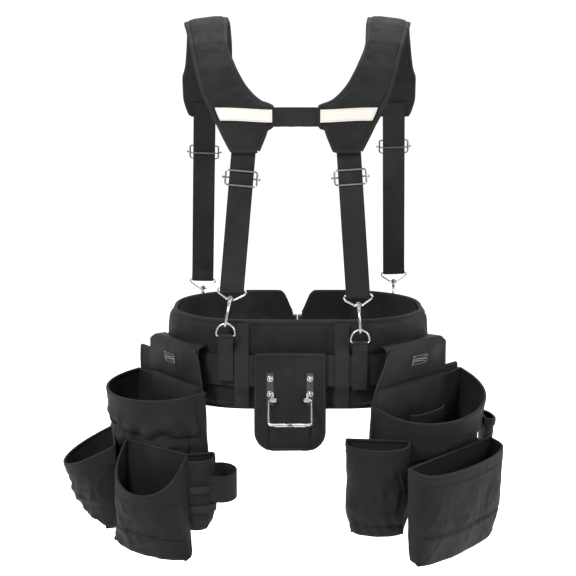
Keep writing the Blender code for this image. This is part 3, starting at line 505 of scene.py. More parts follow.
# ---------------------------------------------------------------- padded forms
def padded_form(name, outer, inner, columns, rows, look, body, pinned, pressure, cap, shrink=-0.02):
    """A stuffed form: outer and inner surfaces that meet round their edge.  It is sewn down where
    pinned(u, v) is true; the rest swells under pressure, by at most cap."""
    work, u, v = grid(columns, rows)
    spot = work.verts.layers.float_vector["spot"]
    front, back = outer(u, v), inner(u, v)
    rim = (np.minimum(u, 1 - u) < 0.5 / columns) | (np.minimum(v, 1 - v) < 0.5 / rows)
    front[rim] = back[rim] = (front[rim] + back[rim]) / 2
    sewn = pinned(u, v) | rim
    behind = work.verts.layers.float_vector["behind"]
    for vert, point, other, hold in zip(work.verts, front, back - front, sewn):
        vert.co = point
        vert[behind] = other
        vert[spot] = (hold, 0, 0)
    scale_uvs(work, *measure(outer))
    everything = work.faces[:] + work.edges[:] + work.verts[:]
    copied = bmesh.ops.extrude_face_region(work, geom=everything, use_keep_orig=True)["geom"]
    for vert in copied:
        if isinstance(vert, bmesh.types.BMVert):
            vert.co += vert[behind]
    bmesh.ops.remove_doubles(work, verts=work.verts, dist=0.000002)
    hold = np.array([vert[spot].x > 0.5 for vert in work.verts])
    made = finish_mesh(work, name, look, body, 70)
    swell(made, hold, pressure, cap, shrink)
    finer = made.modifiers.new("finer", "SUBSURF")
    finer.levels = finer.render_levels = 1
    return made


def swell(made, hold, pressure, cap, shrink, frames=20):
    """Runs a short cloth simulation with pressure inside and keeps its result, moved by at most cap."""
    group = made.vertex_groups.new(name="sewn")
    group.add([int(i) for i in np.flatnonzero(hold)], 1.0, "REPLACE")
    rest = np.array([vertex.co for vertex in made.data.vertices])
    modifier = made.modifiers.new("cloth", "CLOTH")
    settings = modifier.settings
    settings.quality = 6
    settings.mass = 0.25
    settings.tension_stiffness = settings.compression_stiffness = 12
    settings.bending_stiffness = 0.4
    settings.use_pressure = True
    settings.uniform_pressure_force = pressure
    settings.shrink_min = shrink
    settings.vertex_group_mass = "sewn"
    settings.effector_weights.gravity = 0
    modifier.point_cache.frame_start, modifier.point_cache.frame_end = 1, frames
    scene = bpy.context.scene
    for number in range(1, frames + 1):
        scene.frame_set(number)
    evaluated = made.evaluated_get(bpy.context.evaluated_depsgraph_get())
    found = np.array([vertex.co for vertex in evaluated.data.vertices])
    made.modifiers.remove(modifier)
    moved = found - rest
    length = np.linalg.norm(moved, axis=1, keepdims=True)
    moved *= cap * np.tanh(length / cap) / np.maximum(length, 1e-9)
    made.data.vertices.foreach_set("co", (rest + moved).astype(np.float32).ravel())
    made.vertex_groups.remove(group)
    made.data.update()
    scene.frame_set(1)


def polished(node, look):
    """The CAD piece's own shape, with its facets smoothed for a close look."""
    source = frame["nodes"][node]
    work = bmesh.new()
    work.from_mesh(source.data)
    bmesh.ops.remove_doubles(work, verts=work.verts, dist=0.00001)
    bmesh.ops.join_triangles(work, faces=work.faces, angle_face_threshold=0.6, angle_shape_threshold=0.8)
    mesh = bpy.data.meshes.new(f"{node}_finished")
    work.to_mesh(mesh)
    work.free()
    mesh.shade_smooth()
    mesh.set_sharp_from_angle(angle=math.radians(48))
    mesh.materials.append(look)
    made = bpy.data.objects.new(f"{node}_finished", mesh)
    bpy.context.scene.collection.objects.link(made)
    smoother = made.modifiers.new("finer", "SUBSURF")
    smoother.levels = smoother.render_levels = 1
    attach(made, next(name for name, nodes in BODIES.items() if node in nodes))
    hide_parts(node)
    return made


# ---------------------------------------------------------------- the padded belt
def belt_outline():
    """Points and outward normals of the belt's inside outline, left front end to right front end."""
    corners = [(-BELT_ARC_X, BELT_DEPTH - BELT_CORNER, 90, 180), (-BELT_ARC_X, BELT_CORNER, 180, 270),
               (BELT_ARC_X, BELT_CORNER, 270, 360), (BELT_ARC_X, BELT_DEPTH - BELT_CORNER, 0, 90)]
    points, normals = [(-PAD_END, BELT_DEPTH)], [(0, 1)]
    for x, y, start, end in corners:
        turns = np.radians(np.linspace(start, end, 33))
        outward = np.stack([np.cos(turns), np.sin(turns)], -1)
        points += list(np.array([x, y]) + outward * BELT_CORNER)
        normals += list(outward)
    return np.array(points + [(PAD_END, BELT_DEPTH)]), np.array(normals + [(0, 1)])


OUTLINE, OUTWARD = belt_outline()
OUTLINE_AT = np.concatenate([[0], np.cumsum(np.linalg.norm(np.diff(OUTLINE, axis=0), axis=1))])
BELT_LONG = OUTLINE_AT[-1]


def on_belt(share, offset, z):
    """The point that far round the belt, from 0 to 1, that far out from its inside face, at height z."""
    at = share * BELT_LONG
    flat = np.stack([np.interp(at, OUTLINE_AT, OUTLINE[:, k]) for k in range(2)], -1)
    out = unit(np.stack([np.interp(at, OUTLINE_AT, OUTWARD[:, k]) for k in range(2)], -1))
    flat = flat + out * np.asarray(offset)[..., None]
    return np.concatenate([flat, np.broadcast_to(z, share.shape)[..., None]], -1)


def belt_height(u):
    """Half the belt's height at u: its two ends have clipped corners."""
    from_end = np.minimum(u, 1 - u) * BELT_LONG
    return BELT_HALF - PAD_END_CUT[1] * (1 - smooth_step(from_end, -0.003, PAD_END_CUT[0]))


def belt_crown(u, v, sharp=9):
    """How full the padding is: 1 inside, 0 at the bound edge."""
    from_end = np.clip(np.minimum(u, 1 - u) * BELT_LONG / 0.014, 0, 1)
    return ((1 - np.abs(2 * v - 1) ** sharp) * (1 - (1 - from_end) ** 3)) ** 0.5


def make_belt():
    middle, face = 0.0085, 0.0018
    loop_left, loop_right = -0.0725, 0.0505      # where the sewn loops press the padding in

    def outer(u, v):
        full = belt_crown(u, v)
        spot = on_belt(u, BELT, 0.05 * v)
        puckers = 0.0012 * waves(spot, 0.030, 3) * full
        beside = sum(np.exp(-((spot[..., 0] - x) / 0.0060) ** 2) for x in (loop_left, loop_right))
        between = smooth_step(spot[..., 0], -0.078, -0.068) * smooth_step(-spot[..., 0], -0.056, -0.046)
        puckers = puckers - (0.0035 * beside + 0.0030 * between) * (spot[..., 1] < 0) * full
        return on_belt(u, middle + (BELT - 0.0012 - middle) * full + puckers, belt_height(u) * (1 - 2 * v))

    def inner(u, v):
        return on_belt(u, middle - (middle - face) * belt_crown(u, v, 16), belt_height(u) * (1 - 2 * v))

    def lining(u, v):
        edge = 0.0008 + 0.0010 * (1 - belt_crown(u, v, 16))
        quilt = 0.0006 * np.sin(2 * np.pi * u * BELT_LONG / 0.021) * np.sin(2 * np.pi * v * 7)
        quilt = quilt * belt_crown(u, v)
        return on_belt(u, edge + np.minimum(quilt, 0), belt_height(u) * (1 - 2 * v) * 0.985)

    cover = padded_form("belt_cover", outer, inner, 260, 18, canvas, "harness",
                        lambda u, v: np.abs(2 * v - 1) > 0.86, 1.6, 0.0024)
    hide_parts("belt_outer_cover", "belt_foam_core")
    inside = cloth("belt_lining", lining, 260, 14, mesh_lining, "harness", 0.0012)
    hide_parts("belt_inner_lining")

    def edge(u, v):
        return on_belt(u, middle, belt_height(u) * (1 - 2 * v))

    corners = [(0, 0), (1, 0), (1, 1), (0, 1), (0, 0)]
    rim = part_of(edge, (0.001, 0.999), (0.022, 0.978))
    edge_tape("belt_binding", rim, corners, "harness", binding, 0.0095, 0.0075, 900)
    for z in (0.075, 0.925):
        stitch(raised(outer, 0.0012), [(0.006, z), (0.994, z)], "harness", steps=700)
        stitch(lining, [(0.012, z), (0.988, z)], "harness", steps=700, side=-1)
    for end in (0.0085, 0.9915):
        stitch(lining, [(end, 0.1), (end, 0.9)], "harness", steps=60, side=-1)


# ---------------------------------------------------------------- flat webbing
def ribbon(points, across, width, seed=0, wobble=0.0004, cup=0.0003):
    """Surface of a flat strap along points, across its width direction."""
    points = np.asarray([tuple(point) for point in points], float)
    lengths = np.concatenate([[0], np.cumsum(np.linalg.norm(np.diff(points, axis=0), axis=1))])
    across = unit(np.asarray(tuple(across), float))

    def place(u, v):
        at = v * lengths[-1]
        middle = np.stack([np.interp(at, lengths, points[:, k]) for k in range(3)], -1)
        return middle + across * ((u - 0.5) * width)[..., None]

    def rise(u, v, found):
        return wobble * waves(found, 0.06, seed) - cup * (2 * u - 1) ** 4

    return raised(place, rise)


def rounded(points, radius=0.004, steps=5):
    """The polyline with its corners rounded."""
    points = [Vector(point) for point in points]
    found = [points[0]]
    for before, corner, after in zip(points, points[1:], points[2:]):
        one, two = before - corner, after - corner
        reach = min(radius, one.length * 0.45, two.length * 0.45)
        start, end = corner + one.normalized() * reach, corner + two.normalized() * reach
        for k in range(steps + 1):
            t = k / steps
            found.append(start * (1 - t) ** 2 + corner * 2 * t * (1 - t) + end * t * t)
    return found + [points[-1]]


def sewn_box(f, u_range, v_range, body, look=None, rise=0.0004, side=1, cross=False):
    """A rectangle of stitches, with a cross if asked for."""
    (a, b), (c, d) = u_range, v_range
    stitch(f, [(a, c), (b, c), (b, d), (a, d), (a, c)], body, look, rise, 80, side)
    if cross:
        stitch(f, [(a, c), (b, d)], body, look, rise, 40, side)
        stitch(f, [(b, c), (a, d)], body, look, rise, 40, side)


def make_waist_webbing():
    buckle, grip, play = 0.078, 0.024, 0.001
    gap = (buckle - grip + play) / 2
    inset = (gap - PAD_END) / BELT_LONG

    def band(u, v):
        along = inset + (1 - 2 * inset) * u
        drift = 0.0003 * waves(on_belt(u, 0, 0.0), 0.09, 11)
        return on_belt(along, WEBBING_FACE + drift, WEBBING_HIGH + (WEBBING_LOW - WEBBING_HIGH) * v)

    made = cloth("waist_strap", band, 300, 6, webbing, "harness", WEBBING)
    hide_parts("waist_webbing")


def make_belt_loops():
    for side in ("left", "right"):
        low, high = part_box(f"belt_loop_{side}")
        x = (low.x + high.x) / 2
        flat, proud = -BELT - 0.0009, low.y + 0.0009
        points = [(x, flat + 0.0012, high.z), (x, flat, high.z - 0.004), (x, flat, WEBBING_HIGH + 0.014),
                  (x, proud, WEBBING_HIGH + 0.003), (x, proud, WEBBING_LOW - 0.003),
                  (x, flat, WEBBING_LOW - 0.014),
                  (x, flat, low.z + 0.004), (x, flat + 0.0012, low.z)]
        f = ribbon(rounded(points, 0.006), (1, 0, 0), LOOP_WIDTH, 21)
        made = cloth(f"belt_loop_{side}_webbing", f, 8, 90, webbing, "harness", 0.0016)
        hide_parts(f"belt_loop_{side}")
        for v in (0.225, 0.245, 0.735, 0.755):
            stitch(f, [(0.08, v), (0.92, v)], "harness", rise=0.0003, steps=20)


class StrapEnd:
    """One harness strap's lower end, with its places taken from the joints of its hook and ring."""

    def __init__(self, name, back_length):
        self.name = name
        self.face = -1 if name.startswith("back") else 1
        self.back_length = back_length
        self.bar = joint_position(f"hook_bail_{name}_hinge")
        self.pivot = joint_position(f"d_ring_{name}_hinge")
        points = np.array([vertex.co for vertex in frame["nodes"][f"strap_{name}"].data.vertices])
        self.top = Vector(points[points[:, 2] > points[:, 2].max() - 0.006].mean(0))
        self.down = (self.bar - self.top).normalized()
        out = Vector((0, self.face, 0))
        self.out = (out - self.down * out.dot(self.down)).normalized()
        self.across = self.down.cross(self.out).normalized()


def make_strap(end, number):
    """Webbing down to the hook's bar, round it, and back up behind itself."""
    body, reach = "harness", 0.0031
    down, out = end.down, end.out
    points = [end.top, end.bar - down * 0.006 + out * reach]
    for k in range(1, 12):
        a = math.pi * k / 12
        points.append(end.bar + down * math.sin(a) * reach + out * math.cos(a) * reach)
    points += [end.bar - down * 0.006 - out * reach, end.bar - down * 0.016 + out * (reach - 0.0025),
               end.bar - down * end.back_length + out * (reach - 0.0025)]
    f = ribbon(points, end.across * -end.face, STRAP_WIDTH, 31 + number, 0.0007, 0.0004)
    length = (end.top - end.bar).length
    whole = length + end.back_length + 0.016
    made = cloth(f"strap_{end.name}_webbing", f, 14, 230, strap_webbing, body, 0.0017, side=1)
    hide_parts(f"strap_{end.name}")
    at = (length - 0.020) / whole
    sewn_box(f, (0.10, 0.90), (at - 0.012 / whole, at), body, rise=0.0003, cross=True)


def make_ring_tab(end):
    x, y, z = end.pivot
    face, fold, layer = end.face, 0.0032, 0.0011
    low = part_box(f"ring_tab_{end.name}")[0]
    inside = BELT_DEPTH if face > 0 else 0.0
    over, on_pad = inside + face * (WEBBING_FACE + 0.0021), inside + face * (BELT + 0.0012)
    points = [(x, y - face * layer, z - 0.0135)]
    for k in range(17):
        a = math.radians(250 - 320 * k / 16)
        points.append((x, y + face * fold * math.cos(a), z + fold * math.sin(a)))
    points += [(x, y + face * layer, z - 0.008),
               (x, over, WEBBING_HIGH - 0.002 if z > WEBBING_HIGH + 0.012 else z - 0.020)]
    if low.z < WEBBING_LOW - 0.014:
        points += [(x, over, WEBBING_LOW - 0.003), (x, on_pad, WEBBING_LOW - 0.014), (x, on_pad, low.z)]
    else:
        points.append((x, over, low.z))
    f = ribbon(rounded(points, 0.003, 3), (-face, 0, 0), TAB_WIDTH, 41)
    made = cloth(f"ring_tab_{end.name}_webbing", f, 8, 110, webbing, "harness", 0.0016, side=1)
    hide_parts(f"ring_tab_{end.name}")
    for v in (0.42, 0.45, 0.93):
        stitch(f, [(0.1, v), (0.9, v)], "harness", rise=0.0002, steps=20)


# ---------------------------------------------------------------- the hammer holder
def make_hammer_holder():
    body = "hammer_holder"
    low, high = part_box("hammer_holder_panel")
    middle, half, corner = (low.x + high.x) / 2, (high.x - low.x) / 2, 0.028
    face, thick = low.y, high.y - low.y

    def panel(u, v):
        turn = np.clip((v - 0.82) / 0.18, 0, 1) * np.pi / 2
        straight = np.clip(v / 0.82, 0, 1)
        z = high.z + (low.z + corner - high.z) * straight - corner * np.sin(turn)
        wide = half - corner + corner * np.cos(turn)
        x = (2 * u - 1) * wide
        pleats = np.exp(-((np.abs(x) - 0.0330) / 0.0018) ** 2) * smooth_step(-z, 0.084, 0.094)
        puff = (1 - (2 * u - 1) ** 6) * (1 - (2 * v - 1) ** 8)
        place = np.stack([middle + x, np.full_like(x, face), z], -1)
        y = face - 0.0012 * puff + 0.0030 * pleats + 0.0005 * waves(place, 0.03, 5) * puff
        return np.stack([middle + x, y, z], -1)

    made = cloth("hammer_panel", panel, 44, 56, canvas, body, thick)
    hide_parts("hammer_holder_panel")
    rim = [(0.02, 0.02), (0.02, 0.82), (0.03, 0.90), (0.05, 0.97), (0.2, 0.99), (0.8, 0.99), (0.95, 0.97),
           (0.97, 0.90), (0.98, 0.82), (0.98, 0.02), (0.5, 0.015), (0.02, 0.02)]
    edge_tape("hammer_panel_binding", panel, rim, body, binding, 0.0062, thick + 0.0022, 300,
              inward=thick / 2)
    inside = [(0.075, 0.05), (0.075, 0.82), (0.10, 0.90), (0.17, 0.945), (0.83, 0.945), (0.90, 0.90),
              (0.925, 0.82), (0.925, 0.05), (0.075, 0.05)]
    stitch(panel, inside, body, rise=0.0004, steps=260)
    for v in (0.643, 0.683):
        stitch(panel, [(0.09, v), (0.91, v)], body, rise=0.0004, steps=60)
    for name, sign in (("left", -1), ("right", 1)):
        make_clip(name, middle + sign * HAMMER_SPREAD / 2, sign, face)
    low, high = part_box("hammer_holder_sleeve")
    inner = high.y - 0.0011
    points = [(middle, face + thick + 0.0004, high.z - 0.0011), (middle, inner - 0.0015, high.z - 0.0011),
              (middle, inner, high.z - 0.0028), (middle, inner, low.z + 0.0028),
              (middle, inner - 0.0015, low.z + 0.0011),
              (middle, face + thick + 0.0004, low.z + 0.0011)]
    f = ribbon(rounded(points, 0.002, 3), (1, 0, 0), high.x - low.x, 61, 0.0002, 0.0)
    made = cloth("hammer_sleeve", f, 24, 60, canvas, body, 0.0018, side=-1)
    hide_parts("hammer_holder_sleeve")
    polished("hammer_loop", steel)
    weld = joint_position("hammer_loop_hinge") + Vector((0, -1, -1)).normalized() * 0.046
    bead = [weld + Vector((reach, 0, 0)) for reach in (-0.0035, -0.002, 0, 0.002, 0.0035)]
    swept("hammer_loop_weld", bead, [(0, -1, 1)] * 5, dull_steel, "hammer_loop", 0.0062, 0.0062, 0.0015, 10,
          2.2)
    for name, sign in (("left", -1), ("right", 1)):
        ends = [weld + Vector((sign * reach, 0, 0)) for reach in (0.006, 0.012, 0.018, 0.024)]
        swept(f"hammer_grip_{name}", ends, [(0, -1, 1)] * 4, steel, "hammer_loop", 0.0056, 0.0056, 0.0012, 12,
              2.0)


def make_clip(name, x, sign, face):
    """A narrow leather strip with two domed rivets, and the steel barrel that the loop turns in."""
    body, pivot = "hammer_holder", joint_position("hammer_loop_hinge")
    line = [(x, face - 0.0010, z) for z in (-0.0085, -0.0200, -0.0400, -0.0610)]
    strip = swept(f"rivet_strip_{name}", line, [(0, -1, 0)] * 4, leather, body, 0.0115, 0.0016, 0.003, 12,
                  6.0)
    bevelled(strip, 0.0004)
    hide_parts(f"rivet_clip_{name}")
    for number, z in enumerate((-0.0180, -0.0430)):
        work = bmesh.new()
        for radius, depth, thick in ((0.0050, 0.0018, 0.0006), (0.0036, 0.0022, 0.0030)):
            ball = bmesh.ops.create_uvsphere(work, u_segments=24, v_segments=12, radius=radius)["verts"]
            bmesh.ops.scale(work, verts=ball, vec=(1, thick / radius, 1))
            bmesh.ops.translate(work, verts=ball, vec=(x, face - depth, z))
        finish_mesh(work, f"rivet_{name}_{number}", steel, body)
    ends = [pivot + Vector((x - pivot.x - sign * reach, 0, 0)) for reach in (0.0010, 0.0038, 0.0067, 0.0095)]
    swept(f"loop_barrel_{name}", ends, [(0, -1, 0)] * 4, steel, body, 0.0078, 0.0078, 0.0008, 20, 2.0)
    tail = [ends[1] + Vector((0, 0.0020, z)) for z in (0.0, 0.0060, 0.0110)]
    swept(f"loop_tab_{name}", tail, [(0, -1, 0)] * 3, steel, body, 0.0040, 0.0012, 0.002, 10, 5.0)


def bevelled(made, width):
    edges = made.modifiers.new("edges", "BEVEL")
    edges.width, edges.segments, edges.limit_method = width, 2, "ANGLE"


def finish_node(node, look):
    """A CAD piece whose shape stays as it is, with its finish."""
    made = frame["nodes"][node]
    made.data.materials.clear()
    made.data.materials.append(look)


# ---------------------------------------------------------------- the yoke
PAD_TIP, PAD_TIP_HALF = 0.340, 0.060          # height of the back tip, and its inner edge from the middle
BAND_HALF, BAND_LOW, BAND_HIGH = 0.0354, 0.379, 0.4085
BAND_TAPER = 0.017                            # how far the inner edge closes in from the tip to the band
NECK_HALF, NECK_TOP = 0.115, 0.540            # half width and height of the neck opening at the shoulder
NECK_POWER = 1.7                              # 2 would make the neckline an ellipse


def tip_edge(height):
    """The pad's inner edge below the centre band: a straight line."""
    return PAD_TIP_HALF - BAND_TAPER * (height - PAD_TIP) / (BAND_LOW - PAD_TIP)


def neckline(height):
    """The pad's inner edge above the centre band: a quarter of a super-ellipse."""
    fall = min(1.0, (NECK_TOP - height) / (NECK_TOP - BAND_HIGH))
    return BAND_HALF + (NECK_HALF - BAND_HALF) * (1 - fall ** NECK_POWER) ** (1 / NECK_POWER)


PAD_ROWS = np.array([
    # y, z, and the distances of the inner and outer edge from the yoke's middle
    (-0.0240, PAD_TIP, PAD_TIP_HALF, 0.0990), (-0.0222, 0.3640, tip_edge(0.3640), 0.1120),
    (-0.0210, 0.3780, tip_edge(0.3780), 0.1190), (-0.0209, BAND_LOW, BAND_HALF, 0.1195),
    (-0.0185, 0.3940, BAND_HALF, 0.1280), (-0.0155, BAND_HIGH, BAND_HALF, 0.1345),
    (-0.0140, 0.4140, neckline(0.4140), 0.1370), (-0.0090, 0.4320, neckline(0.4320), 0.1450),
    (-0.0035, 0.4500, neckline(0.4500), 0.1500), (0.0020, 0.4690, neckline(0.4690), 0.1545),
    (0.0220, 0.5080, neckline(0.5080), 0.1640), (0.0550, 0.5350, 0.1130, 0.1730),
    (0.0850, 0.5440, 0.1150, 0.1780), (0.1150, 0.5440, 0.1150, 0.1790), (0.1500, 0.5350, 0.1140, 0.1800),
    (0.1850, 0.5100, 0.1140, 0.1840),
    (0.2100, 0.4780, 0.1150, 0.1890), (0.2270, 0.4450, 0.1170, 0.1960), (0.2370, 0.4150, 0.1190, 0.1960),
    (0.2440, 0.3930, 0.1270, 0.1910), (0.2470, 0.3820, 0.1430, 0.1860)])
PAD_AT = np.concatenate([[0], np.cumsum(np.linalg.norm(np.diff(PAD_ROWS[:, :2], axis=0), axis=1))])
PAD_AT = PAD_AT / PAD_AT[-1]
PAD_HALF = 0.005
YOKE_X, YOKE_DRIFT = -0.004, 0.027


def pad_normal(v):
    rise = np.stack([np.interp(v + 0.01, PAD_AT, PAD_ROWS[:, k]) - np.interp(v - 0.01, PAD_AT, PAD_ROWS[:, k])
                     for k in range(2)], -1)
    return unit(np.stack([-rise[..., 1], rise[..., 0]], -1))


def on_pad(side, u, v, height):
    """u runs towards -X across the pad, v from its back tip over the shoulder to its front tip."""
    across = u if side < 0 else 1 - u
    y, z = (np.interp(v, PAD_AT, PAD_ROWS[:, k]) for k in range(2))
    inner, outer = (eased(v, PAD_AT, PAD_ROWS[:, k]) for k in (2, 3))
    x = inner + (outer - inner) * across
    normal = pad_normal(v)
    slope = -0.12 * (x - 0.115) * smooth_step(z, 0.44, 0.47)
    return np.stack([YOKE_X + YOKE_DRIFT * np.maximum(0, y) + side * x, y + normal[..., 0] * height,
                     z + normal[..., 1] * height + slope], -1)


def pad_v(height):
    """v on the pad's back half at that height."""
    back = slice(0, 13)
    return np.interp(height, PAD_ROWS[back, 1], PAD_AT[back])


def make_yoke():
    strip_low, strip_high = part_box("reflective_strip_left")[0].z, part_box("reflective_strip_left")[1].z
    for name, side in (("left", -1), ("right", 1)):
        def crown(u, v):
            return ((1 - np.abs(2 * u - 1) ** 6) * (1 - np.abs(2 * v - 1) ** 40)) ** 0.5

        def outer(u, v, side=side):
            return on_pad(side, u, v, 0.0012 + (PAD_HALF - 0.0018) * crown(u, v))

        def inner(u, v, side=side):
            return on_pad(side, u, v, -0.0012 - (PAD_HALF - 0.0018) * crown(u, v))

        def sewn(u, v):
            strip = (v > pad_v(strip_low) - 0.01) & (v < pad_v(strip_high) + 0.01)
            return strip | (np.abs(2 * u - 1) > 0.86)

        made = padded_form(f"shoulder_pad_{name}_cover", outer, inner, 18, 120, canvas, "harness", sewn,
                           4.0, 0.0030)
        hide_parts(f"shoulder_pad_{name}")

        def flat(u, v, side=side):
            return on_pad(side, u, v, 0.0)

        edge = [(0, 0), (1, 0), (1, 1), (0, 1), (0, 0)]
        rim = part_of(flat, (0.02, 0.98), (0.004, 0.996))
        edge_tape(f"shoulder_pad_{name}_binding", rim, edge, "harness", binding, 0.0085, 0.0062, 600)
        for u in (0.13, 0.87):
            stitch(outer, [(u, 0.03), (u, 0.97)], "harness", rise=0.0010, steps=240)
        sewn_box(outer, (0.28, 0.72), (0.045, 0.115), "harness", rise=0.0008, cross=True)
        for v in (0.130, 0.30):
            stitch(outer, [(0.12, v), (0.88, v)], "harness", rise=0.0008, steps=60)

        low, high = pad_v(strip_low), pad_v(strip_high)

        def tilted(u, v, side=side):
            inner_end = 1 - u if side < 0 else u
            return on_pad(side, u, v - 0.006 * smooth_step(inner_end, 0.2, 1.0), PAD_HALF + 0.0012)

        strip = part_of(tilted, (0.020, 0.92) if side < 0 else (0.08, 0.980), (low, high))
        made = cloth(f"reflective_strip_{name}_tape", strip, 30, 8, reflector, "harness", 0.0009)
        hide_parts(f"reflective_strip_{name}")
        border = [(0.03, 0.10), (0.97, 0.10), (0.97, 0.90), (0.03, 0.90), (0.03, 0.10)]
        stitch(strip, border, "harness", look=label_thread, rise=0.0001, steps=160)

    low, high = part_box("yoke_centre_band")

    def band(u, v):
        x = low.x - 0.004 + (high.x - low.x + 0.008) * u
        z = high.z + (low.z - high.z) * v
        lean = np.interp(z, PAD_ROWS[3:6, 1], PAD_ROWS[3:6, 0])
        over = smooth_step(np.abs(x - YOKE_X), 0.031, 0.037)
        place = np.stack([x, lean, z], -1)
        return np.stack([x, lean - 0.0026 - 0.0034 * over + 0.0004 * waves(place, 0.02, 8), z], -1)

    made = cloth("yoke_band", band, 40, 12, strap_webbing, "harness", 0.0030)
    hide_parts("yoke_centre_band")
    for u in (0.05, 0.95):
        stitch(band, [(u, 0.06), (u, 0.94)], "harness", rise=0.0002, steps=20)


# ---------------------------------------------------------------- the pouches
FRONT = 0.72                 # share of a bag's ring that is its front


class Pouch:
    """A pouch's own frame: u along its back panel, w out from the belt, z up."""

    def __init__(self, side, angle):
        self.side = side
        self.body = "left_pouch" if side < 0 else "right_pouch"
        self.angle = math.radians(angle)
        pivot = joint_position(f"{self.body}_slide_round_belt")
        self.centre = np.array([pivot.x, pivot.y])
        self.out = np.array([side * math.sin(self.angle), -math.cos(self.angle)])
        self.along = np.array([math.cos(self.angle), side * math.sin(self.angle)])

    def point(self, u, w, z):
        u, w, z = np.broadcast_arrays(u, w, z)
        flat = self.centre + (0.1521 + w)[..., None] * self.out + u[..., None] * self.along
        return np.concatenate([flat, z[..., None]], -1)


class Bag:
    """An open bag of a pouch.  levels run from its bottom to its rim: half width, bulge, height of back and
    front.  u runs round from its left front edge and along the back; v runs down from the rim."""

    def __init__(self, pouch, where, levels, power, seed, slack=0.0022, corner=0.10, seams=(),
                 grooves=()):
        self.pouch, self.power, self.seed, self.slack, self.corner = pouch, power, seed, slack, corner
        self.seams, self.grooves = seams, grooves
        self.where = (*where, 0.0) if len(where) == 3 else where
        self.levels = np.array(levels[::-1])
        heights = self.levels[:, 3]
        self.knots = (heights[0] - heights) / (heights[0] - heights[-1]) * 0.92
        self.tall = heights[0] - heights[-1]

    def down(self, metres):
        return metres / self.tall * 0.92

    def bare(self, u, v):
        above = np.minimum(v, 0.92)
        half, bulge, z_back, z_front = (eased(above, self.knots, self.levels[:, k]) for k in range(4))
        end = np.clip((v - 0.92) / 0.08, 0, 1)
        half = half * (1 - self.corner * smooth_step(v, 0.70, 1.0) ** 2)
        u = np.mod(u, 1.0)
        turn = np.pi * (1 - np.clip(u / FRONT, 0, 1))
        at_back = u > FRONT
        a = np.where(at_back, 1 - 2 * (u - FRONT) / (1 - FRONT), np.cos(turn)) * half
        share = np.where(at_back, 0.0, np.sin(turn) ** self.power)
        w = bulge * share
        w = w + (bulge * 0.55 - w) * end * 0.92
        sag = 0.005 * np.sqrt(end) * (1 - 0.5 * (a / np.maximum(half, 1e-6)) ** 2)
        z = z_back + (z_front - z_back) * share - sag
        x, y, angle, tilt = self.where
        c, s = math.cos(math.radians(angle)), math.sin(math.radians(angle))
        return self.pouch.point(x + a * c + w * s, y - a * s + w * c, z + tilt * a)

    def rise(self, u, v, points):
        front = smooth_step(u, 0.0, 0.06) * smooth_step(FRONT - u, 0.0, 0.06)
        slack = smooth_step(v, 0.02, 0.35) * (0.35 + 0.65 * front)
        folds = waves(points, 0.055, self.seed) + 0.45 * waves(points, 0.023, self.seed + 1)
        size = self.slack * slack * folds
        drawn = points * np.array([1.0, 1.0, 0.75])
        size += 0.8 * self.slack * slack * creases(drawn, 0.060, self.seed + 2, 0.24)
        size += 0.5 * self.slack * smooth_step(v, 0.6, 0.95) * creases(points, 0.028, self.seed + 3, 0.3)
        size *= 1 - smooth_step(v, 0.86, 0.97)
        for lines, deep, wide in ((self.seams, 0.0022, 0.0028), (self.grooves, 0.0050, 0.0070)):
            for middle, bend in lines:
                line = middle + bend * (2 * u / FRONT - 1) ** 2
                size -= deep * front * np.exp(-((v - line) * self.tall / wide) ** 2)
        return size

    def __call__(self, u, v):
        return raised(self.bare, self.rise)(u, v)


def front_of(bag, v_range, u_range=(0.0, FRONT)):
    return part_of(bag, u_range, v_range)


def make_bag(name, bag, hem, rows=40, columns=84, look=None, double=True, node=None):
    """The shell of a bag with its bound rim, folded hem and stitching."""
    look = look or canvas
    body = bag.pouch.body
    full = f"{body}_{name}"
    made = cloth(f"{full}_shell", bag, columns, rows, look, body, CANVAS, closed=True, cap=True)
    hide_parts(node or full)
    ring = [(u, 0.0) for u in np.linspace(0, 1, 61)[:-1]]
    edge_tape(f"{full}_rim", bag, ring, body, binding, 0.0052, 0.0042, 240, closed=True, inward=CANVAS / 2)
    if hem:
        v = bag.down(hem)
        band = raised(front_of(bag, (0.004, v)),
                      lambda a, b, p: HEM * (1 + 0.5 * waves(p, 0.03, bag.seed + 9)))
        cloth(f"{full}_hem", band, 60, 6, look, body, 0.0012)
        for share in ((0.80, 0.93) if double else (0.90,)):
            stitch(band, [(0.03, share), (0.97, share)], body, rise=0.0003, steps=120)
        stitch(band, [(0.02, 0.22), (0.98, 0.22)], body, rise=0.0003, steps=120)
    for middle, bend in bag.seams:
        for shift in (-0.004, 0.004):
            line = [(t * FRONT, middle + bend * (2 * t - 1) ** 2 + bag.down(shift))
                    for t in np.linspace(0.05, 0.95, 30)]
            stitch(bag, line, body, rise=0.0004, steps=120)
    return made


